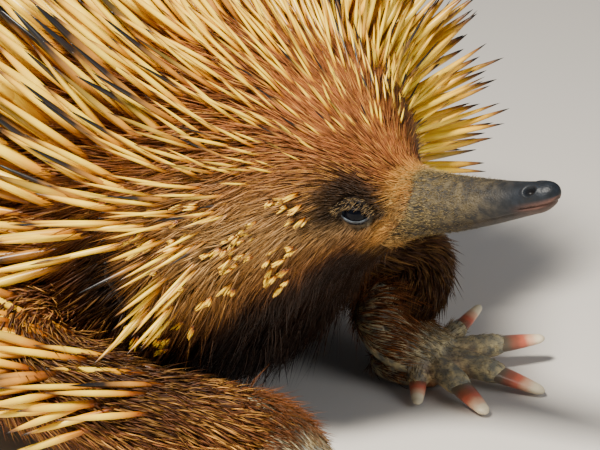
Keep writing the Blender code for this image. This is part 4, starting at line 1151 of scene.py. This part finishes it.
def foot_tubes(foot):
    """The tubes that make up a foot: palm, pad, toes, and the swellings between the toes. Pad and swellings
    narrow towards both ends as quarter circles."""
    half_width, length, half_height = foot.palm
    across = np.cross(UP, foot.forward)
    toward = unit(foot.ankle - foot.before)
    ball = foot.heel + foot.forward * length + UP * half_height * 0.75
    bend = foot.heel + foot.forward * 6 + UP * 12
    controls = (foot.ankle - toward * 6, foot.ankle + toward * 9, bend, ball)
    share = np.linspace(0, 1, 16)
    wide = lerp((WRIST, half_width), ease(share * 1.5)) - 0.24 * half_width * share**6
    yield tube(bezier(controls, share), wide, lerp((WRIST, 0.75 * half_height), share), across, 24)
    reach = np.linspace(-6, length + 4, 12)
    bulge = quarter(np.abs(np.linspace(-0.93, 0.93, 12))) * 0.95 + 0.05
    yield tube(placed(foot.heel, (reach, foot.forward)) + UP * 5, half_width * bulge, 7 * bulge, across, 24)
    t = np.linspace(0, 1, 14)
    close = quarter((t - 0.8) / 0.22) * 0.6 + 0.4
    for digit in foot.digits:
        wide = lerp((digit.thick, digit.half + 0.7), t) * close
        high = lerp((digit.thick, digit.nail + 1.3), t) * close
        yield tube(bezier(digit.toe, t), wide, high, np.cross(UP, digit.away), 20)
    for one, other in zip(foot.digits[:-1], foot.digits[1:]):
        away = unit(one.away + other.away)
        path = placed(web_middle(one, other), (np.linspace(-8, 2.5, 9), away))
        bulge = quarter(np.abs(np.linspace(-0.9, 0.95, 9)), 0.03)
        yield tube(path, 4.4 * bulge, 3.6 * bulge, np.cross(UP, away), 16)


def fused(rings_list):
    """One closed surface round several tubes, by a grid of small cubes, then smoothed."""
    assembly = Assembly()
    for rings in rings_list:
        rings[..., 2] = np.maximum(rings[..., 2], 0)
        assembly.add(shell(rings))
    obj = assembly.make("fusing")
    remesh = obj.modifiers.new("fuse", "REMESH")
    remesh.mode = "VOXEL"
    remesh.voxel_size = FOOT_CUBE * MM
    obj.modifiers.new("smooth", "SMOOTH").iterations = FOOT_SMOOTHING
    bpy.context.view_layer.update()
    mesh = bpy.data.meshes.new_from_object(obj.evaluated_get(bpy.context.evaluated_depsgraph_get()))
    points = np.empty(len(mesh.vertices) * 3, np.float32)
    mesh.vertices.foreach_get("co", points)
    loops = np.empty(len(mesh.loops), np.int32)
    mesh.loops.foreach_get("vertex_index", loops)
    sizes = np.empty(len(mesh.polygons), np.int32)
    mesh.polygons.foreach_get("loop_total", sizes)
    bpy.data.objects.remove(obj)
    bpy.data.meshes.remove(mesh)
    points = points.reshape(-1, 3).astype(float) / MM - SHIFT
    points[:, 2] = np.maximum(points[:, 2], 0)
    return points, loops, sizes


def foot_skins(assembly, rng):
    """Each foot as one surface: grey-green wrinkled skin, fleshy orange swellings between the toes, brown
    soles. Gives back the rows of hair that grow on them."""
    rows = []
    for name in FEET:
        foot = foot_parts(name)
        part = fused(foot_tubes(foot))
        points = part[0]
        middles = [web_middle(one, other) - UP for one, other in zip(foot.digits[:-1], foot.digits[1:])]
        fleshy = bell(np.min([np.linalg.norm(points - middle, axis=1) for middle in middles], 0) / 6)
        sole = 0.7 * ease((3 - points[:, 2]) / 2)
        tint = mixed(mixed(PAW, PAD, fleshy), SOLE, sole)
        second = mixed(mixed(PAW_LIGHT, PAD_LIGHT, fleshy), SOLE, sole)
        assembly.add_skin(part, tint, second, 0.7 - 0.15 * fleshy)
        rows.append(foot_hairs(name, part, foot, rng))
    return rows


def foot_hairs(name, part, foot, rng):
    """Short hairs on the upper side of a foot, lying forward or along the nearest toe: their roots, normals,
    directions, distances from the heel and places on the map."""
    points, loops, sizes = part
    a, b, c = (points[loops[starts_of(sizes) + k]] for k in range(3))
    middle = (a + b + c) / 3
    normal = unit(np.cross(b - a, c - a) + 1e-9)
    ahead = (middle - foot.heel) @ foot.forward
    chance = np.where(normal[:, 2] > -0.2, np.clip(1.1 - ahead / 40, 0.45, 1), 0.02) * 0.48
    pick = rng.random(len(middle)) < chance
    away = np.broadcast_to(foot.forward, (len(middle), 3))
    for digit in foot.digits:
        line = bezier(digit.toe, np.linspace(0.2, 1, 5))
        near = np.min(np.linalg.norm(middle[:, None] - line, axis=2), 1)
        away = np.where((near < digit.thick + 1.5)[:, None], digit.away, away)
    lie = unit(along_skin(away, normal) + 1e-6)
    return middle[pick], normal[pick], lie[pick], ahead[pick], foot_uv(name, middle[pick], foot.heel)


def foot_fur(name, rows, rng):
    """Hair of the feet: brown and longer at the wrist, short and straw-coloured on the toes."""
    point, normal, lie, ahead, places = joined(rows)
    count = len(point)
    direction = unit(tilted(lie, normal, 0.35 * bounded_noise(rng, count, 0.3)))
    length = np.clip(8 - 0.24 * ahead, 1.7, 9) * bounded_noise(rng, count, 0.25)
    straw = mixed(STRAW, PAW, rng.random(count) * 0.8)
    tint = mixed(mixed(RUSSET, UMBER, rng.random(count)), straw, ease((ahead - 6) / 16))
    tint = tint * bounded_noise(rng, count, 0.25)[:, None]
    radius = 0.17 - 0.07 * ease((ahead - 8) / 14)
    return tufts(name, point, direction, normal, length, radius, tint, places, flat=0.6, curl=0.35)


def lid_shell(side):
    """A ring of lid round each eye. u runs round the almond opening and v from its rim out to the skin; the
    rim rests on the eyeball, and the lid falls to the skin in a rounded fold, with fine wrinkles below.
    Three last rows go back under it to close it."""
    centre, out, forward, up = eye_frame(side)
    v, u = grid_of(np.concatenate([np.linspace(0, 1, 26), [1.0, 0.5, 0.03]]), full_turn(96))
    under = (np.arange(len(v)) >= 26)[:, None]
    rim_y = np.where(np.sin(u) > 0, LID_RISE, LID_DROP) * np.sin(u) - 0.35 * np.cos(u) - 0.3
    x = lerp((LID_WIDTH * np.cos(u), LID_REACH[0] * np.cos(u) - 0.3), v)
    y = lerp((rim_y, LID_REACH[1] * np.sin(u)), v)
    ball = np.sqrt(np.clip((EYE_RADIUS + 0.1) ** 2 - x**2 - y**2, 0, None))
    base = np.maximum(ball, 1.9)
    below = ease(-np.sin(u) * 1.5 + 0.05)
    plump = (0.3 + 0.15 * below) * np.sin(math.pi * np.clip(v * 2.6 + 0.15, 0, 1)) ** 0.8
    plump *= 1 + 0.12 * np.sin(11 * u) + 0.1 * np.sin(17 * u + 1)
    wrinkle = 0.16 * np.sin(v * 40 + 0.8 * np.sin(3 * u)) * bell((v - 0.45) / 0.25) * (0.3 + 0.7 * below)
    fold = 0.5 * bell((v - 0.5) / 0.14) * (1 - below)
    z = base * (1 - v) + 1.7 * v + plump + wrinkle + fold + 0.12 - v**3 * 1.9
    z = np.where(under, np.minimum(z, base) - 1.2, z)
    return placed(centre, (x, forward), (y, up), (z, out)), below, v


def ear_shell(side):
    """An ear: a low upright cup. The profile rises out of the skin, turns over the rim, and goes down inside
    to a floor under the level of the skin; u runs round the oval, which waves a little."""
    middle, out, back, up = ear_frame(side)
    u = full_turn(56)
    wide, level = np.array(EAR_PROFILE).T
    stations = np.linspace(0, 1, 34)
    reach = np.linspace(0, 1, len(wide))
    wide, level = (np.interp(stations, reach, v)[:, None] for v in (wide, level))
    x = EAR_SIZE[0] * wide * np.cos(u) * (1 + 0.07 * np.sin(3 * u + 0.7) + 0.04 * np.sin(7 * u))
    y = EAR_SIZE[1] * wide * np.sin(u) * (1 + 0.03 * np.sin(5 * u))
    z = level * (1 + 0.12 * np.sin(2 * u + 1) + 0.06 * np.sin(5 * u))
    # pit: darker deep in the cup and more so in its upper part, painted shade in the hollow.
    pit = ease((stations - 0.58) / 0.2)[:, None] * (0.75 + 0.25 * ease(np.sin(u) + 0.8))
    return placed(middle, (x, back), (y, up), (z, out)), pit


def lids_and_ears(assembly):
    """Lids, pale along the rim of the lower one and dark elsewhere, and ears, darkest in their pits with
    painted shade.
    """
    for side in (-1, 1):
        rings, below, reach = lid_shell(side)
        pale = (below * (1 - ease((reach - 0.16) / 0.2))).ravel()
        tint, second = mixed(LID_SKIN, LID_RIM, pale * 0.8), mixed(LID_SKIN * 0.6, LID_RIM, pale * 0.1)
        assembly.add_skin(shell(rings, caps=False), tint, second, 0.75, 0.8)
    for side in (-1, 1):
        rings, pit = ear_shell(side)
        pit = np.append(pit.ravel(), (0, 1))
        assembly.add_skin(shell(rings), mixed(EAR_RIM, PIT_SHADE, pit), mixed(EAR_RIM * 1.4, PIT_SHADE, pit), 0.9)


def make_eye(side, name):
    """An eyeball: a sphere on a grid of latitude and longitude about its outward axis, with the clear bulge
    of the cornea over its middle."""
    centre, out, forward, up = eye_frame(side)
    band, turn = grid_of(np.linspace(0.01, math.pi - 0.01, 40), full_turn(56))
    radius = EYE_RADIUS + CORNEA_RISE * bell(band / 0.5)
    flat = radius * np.sin(band)
    rings = placed(
        centre, (radius * np.cos(band), out), (flat * np.cos(turn), forward), (flat * np.sin(turn), up),
    )
    assembly = Assembly()
    assembly.add(shell(rings), band=np.append(band.ravel(), (0, math.pi)))
    return assembly.make(name)


def make_claw(digit, name, tone):
    """A claw: flattened ovals round a Bezier path that narrows slowly and closes in a blunt round end, with
    a shallow groove along its underside. tone moves its bands of colour along it."""
    sides = 28
    t = np.concatenate([np.linspace(0, 0.86, 20)[:-1], 0.86 + 0.14 * np.sin(np.linspace(0, math.pi / 2, 10))])
    path = bezier(digit.claw, t)
    _, first, second = tube_frame(path, np.cross(UP, digit.away))
    size = ((1 - 0.52 * t**1.7) * quarter((t - 0.86) / 0.141))[:, None]
    turn = full_turn(sides)
    groove = 1 - 0.16 * bell((turn - math.pi * 1.5) / 0.5)
    rings = placed(
        path[:, None],
        (size * digit.half * np.cos(turn), first[:, None]),
        (size * digit.nail * 1.12 * groove * np.sin(turn), second[:, None]),
    )
    rings[..., 2] = np.maximum(rings[..., 2], FLOOR_ROOM)
    assembly = Assembly()
    assembly.add(shell(rings), along=np.append(np.repeat(t, sides), (0, 1)) + tone)
    return assembly.make(name)


# Materials

SPINE_STREAKS = 260  # patterns to the metre: streaks about 4 mm long
SKIN_PATCHES = 320  # patches 3 to 4 mm wide
SKIN_GRAIN = 1600  # a grain of 0.6 mm, coarser than the real one so that it shows
CLAW_STREAKS = 350  # streaks about 3 mm long


def link(tree, node, *links):
    """Links into a node: (socket, node, output)."""
    for socket, source, output in links:
        tree.links.new(source.outputs[output], node.inputs[socket])


def add(tree, kind, links=(), stops=(), blend="EASE", **settings):
    """A node with its settings, where in_ and a name or number set a socket, with the stops of its ramp, of
    place and hex colour or linear colour, and with links into it: (socket, node, output)."""
    made = tree.nodes.new(kind)
    for key, value in settings.items():
        if key.startswith("in_"):
            socket = key[3:]
            made.inputs[int(socket) if socket.isdigit() else socket].default_value = value
        else:
            setattr(made, key, value)
    for k, (place, colour) in enumerate(stops):
        made.color_ramp.interpolation = blend
        stop = made.color_ramp.elements[k] if k < 2 else made.color_ramp.elements.new(place)
        stop.position = place
        stop.color = (*(linear(colour) if isinstance(colour, str) else colour), 1)
    link(tree, made, *links)
    return made


def new_material(name, roughness, specular=0.5, attributes=()):
    """A material, its nodes, its shader, and a node that reads each attribute."""
    made = bpy.data.materials.new(name)
    made.use_nodes = True
    tree = made.node_tree
    shader = tree.nodes["Principled BSDF"]
    shader.inputs["Roughness"].default_value = roughness
    shader.inputs["Specular IOR Level"].default_value = specular
    return made, tree, shader, *(add(tree, "ShaderNodeAttribute", attribute_name=key) for key in attributes)


def fur_material():
    """Hair: dark at its root where light does not reach, its own colour along it, and a lighter tip, a
    painted sheen where light catches it.
    """
    made, tree, shader, tint, along = new_material("echidna_fur", 0.5, 0.22, ("tint", "along"))
    # Painted shade at the root and a painted sheen at the tip, by the share along the hair.
    depth = add(
        tree, "ShaderNodeValToRGB", ((0, along, 2),),
        ((0.0, (0.3, 0.3, 0.3)), (0.55, (1.0, 1.0, 1.0)), (1.0, (1.6, 1.5, 1.25))),
    )
    links = ((6, tint, 0), (7, depth, 0))
    colour = add(tree, "ShaderNodeMix", links, data_type="RGBA", blend_type="MULTIPLY", in_0=1.0)
    link(tree, shader, ("Base Color", colour, 2))
    return made


def spine_material():
    """Keratin of a quill: orange-brown at its root, waxy golden cream along it, and a thin dark tip, with
    streaks; about one in five is browner and darker from its middle up."""
    made, tree, shader, along, tone = new_material("quill_keratin", 0.32, 0.38, ("along", "tone"))
    place = add(tree, "ShaderNodeTexCoord")
    noise = add(tree, "ShaderNodeTexNoise", (("Vector", place, "Object"),), in_Scale=SPINE_STREAKS)
    moved = add(tree, "ShaderNodeMath", ((0, noise, 0), (2, along, 2)), operation="MULTIPLY_ADD", in_1=0.1)
    pale = add(tree, "ShaderNodeValToRGB", ((0, moved, 0),), (
        (0.06, "#341705"), (0.16, "#84430a"), (0.3, "#c98812"), (0.56, "#f5d038"), (0.84, "#dfaa2c"),
        (0.94, "#7a5024"), (1.0, "#1c1715"),
    ), "LINEAR")
    dark = add(tree, "ShaderNodeValToRGB", ((0, moved, 0),), (
        (0.06, "#3c1c08"), (0.2, "#84480f"), (0.38, "#b97f2c"), (0.56, "#80592c"), (0.68, "#251d1a"),
        (0.84, "#111216"), (1.0, "#0a0b0d"),
    ), "LINEAR")
    share = add(tree, "ShaderNodeValToRGB", ((0, tone, 2),), ((0.7, (0, 0, 0)), (0.86, (1, 1, 1))))
    colour = add(tree, "ShaderNodeMix", ((0, share, 0), (6, pale, 0), (7, dark, 0)), data_type="RGBA")
    link(tree, shader, ("Base Color", colour, 2))
    return made


def skin_material():
    """Living skin: each zone's own colour, mottled with its second colour in patches, and raised by wrinkles
    and a fine grain."""
    made, tree, shader, tint, second, rough, relief = new_material(
        "living_skin", 0.55, 0.28, ("tint", "second", "rough", "relief"),
    )
    place = add(tree, "ShaderNodeTexCoord")
    here = (("Vector", place, "Object"),)
    blotch = add(tree, "ShaderNodeTexNoise", here, in_Scale=SKIN_PATCHES, in_Detail=9.0)
    grain = add(tree, "ShaderNodeTexVoronoi", here, in_Scale=SKIN_GRAIN)
    share = add(tree, "ShaderNodeValToRGB", ((0, blotch, 0),), ((0.34, (0, 0, 0)), (0.7, (1, 1, 1))))
    colour = add(tree, "ShaderNodeMix", ((0, share, 0), (6, tint, 0), (7, second, 0)), data_type="RGBA")
    height = add(tree, "ShaderNodeMath", ((0, blotch, 0), (1, grain, 0)), operation="ADD")
    raised = add(tree, "ShaderNodeMath", ((0, height, 0), (1, relief, 2)), operation="MULTIPLY")
    bump = add(tree, "ShaderNodeBump", (("Height", raised, 0),), in_Distance=0.0004, in_Strength=0.7)
    link(tree, shader, ("Base Color", colour, 2), ("Roughness", rough, 2), ("Normal", bump, 0))
    return made


def claw_material():
    """Horn: dark at its root, red where the quick shows through, then orange, and worn ivory at the tip."""
    made, tree, shader, along = new_material("claw_horn", 0.34, 0.5, ("along",))
    place = add(tree, "ShaderNodeTexCoord")
    noise = add(tree, "ShaderNodeTexNoise", (("Vector", place, "Object"),), in_Scale=CLAW_STREAKS)
    moved = add(tree, "ShaderNodeMath", ((0, noise, 0), (2, along, 2)), operation="MULTIPLY_ADD", in_1=0.12)
    colour = add(tree, "ShaderNodeValToRGB", ((0, moved, 0),), (
        (0.16, "#655a4a"), (0.36, "#8f5340"), (0.5, "#bb6048"), (0.68, "#d2a484"), (0.84, "#dacbab"),
        (1.0, "#c3b799"),
    ))
    bump = add(tree, "ShaderNodeBump", (("Height", noise, 0),), in_Distance=0.0002, in_Strength=0.4)
    link(tree, shader, ("Base Color", colour, 0), ("Normal", bump, 0))
    return made


def eye_material():
    """A wet eye: nearly black, with a faint blue edge."""
    made, tree, shader, band = new_material("wet_eye", 0.1, 0.1, ("band",))
    stops = ((0.0, "#04050a"), (0.75, "#080b12"), (1.0, "#151b24"))
    colour = add(tree, "ShaderNodeValToRGB", ((0, band, 2),), stops)
    link(tree, shader, ("Base Color", colour, 0))
    return made


def floor_material():
    """Smooth pale board."""
    made, _, shader = new_material("pale_board", 0.9)
    shader.inputs["Base Color"].default_value = (*linear("#cfcac2"), 1)
    return made


# Making the animal

def finish_piece(piece, material, slot, *nodes):
    """Gives a piece its material, and hides the nodes that it takes the place of. The slot is not used."""
    piece.data.materials.append(material)
    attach(piece, "root")
    if nodes:
        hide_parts(*nodes)


rng = np.random.default_rng(SEED)
fur = fur_material()
quill = spine_material()
living_skin = skin_material()
horn = claw_material()
wet = eye_material()

skin = Assembly()
beak_and_trunk(skin)
legs_and_tail(skin)
foot_rows = foot_skins(skin, rng)
lids_and_ears(skin)
trunk_nodes = ("torso", "neck", "head", "tail", "beak", "ear_right", "ear_left")
finish_piece(skin.make("skin"), living_skin, "coat", *trunk_nodes, *LIMBS, *FEET)

for side, word in ((-1, "right"), (1, "left")):
    finish_piece(make_eye(side, f"eyeball_{word}"), wet, "eye", f"eye_{word}")
for name in FEET:
    for digit in foot_parts(name).digits:
        nail = make_claw(digit, f"nail_{name}_{digit.word}", rng.uniform(-0.1, 0.06))
        finish_piece(nail, horn, "claw_horn", f"claw_{name}_{digit.word}")

for piece in make_spines(rng):
    finish_piece(piece, quill, "coat")
finish_piece(leg_spines(rng), quill, "limb_fur")
finish_piece(tail_spines(rng), quill, "coat")
finish_piece(cheek_stubs(rng), quill, "coat")

# Name, count of tufts, their density by distance from the rump, and where it isn't the usual one their shape
for name, count, density, *shape in (
    ("fur_face", 19000, ((296, 1), (312, 1.5), (334, 1.3))),
    ("fur_crown", 19500, ((262, 1), (288, 1.2), (304, 1.1))),
    ("fur_nape", 17000, ((222, 0.8), (268, 1))),
    ("fur_neck", 8900, ((170, 0.9), (228, 1)), LONG_PROFILE),
    ("fur_chest", 6400, ((80, 1), (176, 1)), LONG_PROFILE),
    ("fur_rump", 6200, ((1.5, 1), (86, 1)), LONG_PROFILE),
    ("hair_bristles", 2600, ((20, 0.7), (240, 1.2), (285, 0.8)), FUR_PROFILE, 1.9, 0.36),
):
    finish_piece(trunk_fur(name, count, density, rng, *shape), fur, "coat")
for pair, count in (("foreleg", 20200), ("hindleg", 8500)):
    finish_piece(leg_fur(f"fur_{pair}s", (f"{pair}_right", f"{pair}_left"), count, rng), fur, "limb_fur")
for make, name, count in (
    (beak_fuzz, "fuzz_beak", 6900), (brow_hair, "hair_brows", 300), (tail_fur, "fur_tail", 1500),
):
    finish_piece(make(name, count, rng), fur, "coat")
finish_piece(foot_fur("fur_feet", foot_rows, rng), fur, "limb_fur")

# Floor, light and camera

AZIMUTH, ELEVATION = math.radians(65), math.radians(21)
PIXEL = 0.333  # millimetres at the beak's root
BEAK_ROOT_AT = (415, 203)  # where the root of the beak is drawn
PICTURE = (600, 450)
SENSOR = 36  # width in millimetres
DISTANCE = 1000

right = np.array((math.cos(AZIMUTH), math.sin(AZIMUTH), 0))
back = np.cross(right, UP) * math.cos(ELEVATION) + UP * math.sin(ELEVATION)
above = np.cross(back, right)
target = along_head(np.float64(HEAD_END + 2), 0, beak_level(0.03)) + SHIFT
across, down = ((BEAK_ROOT_AT[k] - PICTURE[k] / 2) * PIXEL for k in range(2))
seen_from = target + back * DISTANCE - right * across + above * down
lens = bpy.data.cameras.new("camera")
lens.lens = SENSOR * DISTANCE / (PICTURE[0] * PIXEL)
lens.clip_start, lens.clip_end = 0.05, 20
camera = bpy.data.objects.new("camera", lens)
camera.matrix_world = Matrix((*np.column_stack([right, above, back, seen_from * MM]).tolist(), (0, 0, 0, 1)))
bpy.context.scene.collection.objects.link(camera)
bpy.context.scene.camera = camera

bpy.ops.mesh.primitive_plane_add(size=6, location=(0, 0, -0.0002))
floor = bpy.context.object
floor.name = "floor"
floor.data.materials.append(floor_material())
floor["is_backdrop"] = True


def area_light(name, direction, distance, size, power, colour, mirrored=True):
    """A square lamp that faces the head from a direction given by right, above and back. One that isn't
    mirrored leaves no reflection in the eye."""
    lamp = bpy.data.lights.new(name, "AREA")
    lamp.size, lamp.energy, lamp.color = size, power, colour
    obj = bpy.data.objects.new(name, lamp)
    away = unit(right * direction[0] + above * direction[1] + back * direction[2])
    obj.location = Vector(target * MM) + Vector(away) * distance
    obj.rotation_euler = Vector(away).to_track_quat("Z", "Y").to_euler()
    obj.visible_glossy = mirrored
    bpy.context.scene.collection.objects.link(obj)


# Direction, distance in metres, side in metres, power in watts, and colour
area_light("key", (-0.5, 0.9, 1.15), 1.1, 0.2, 38, (1.0, 0.94, 0.84))
area_light("fill", (1.0, 0.2, 0.75), 1.4, 0.8, 8, (0.94, 0.96, 1.0), mirrored=False)
world = bpy.data.worlds.new("studio")
world.use_nodes = True
world.node_tree.nodes["Background"].inputs["Color"].default_value = (0.75, 0.8, 0.9, 1)
world.node_tree.nodes["Background"].inputs["Strength"].default_value = 0.22
bpy.context.scene.world = world

boxes = {"cad": cad_box, "visual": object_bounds()}
{key: [list(corner) for corner in box] for key, box in boxes.items()}
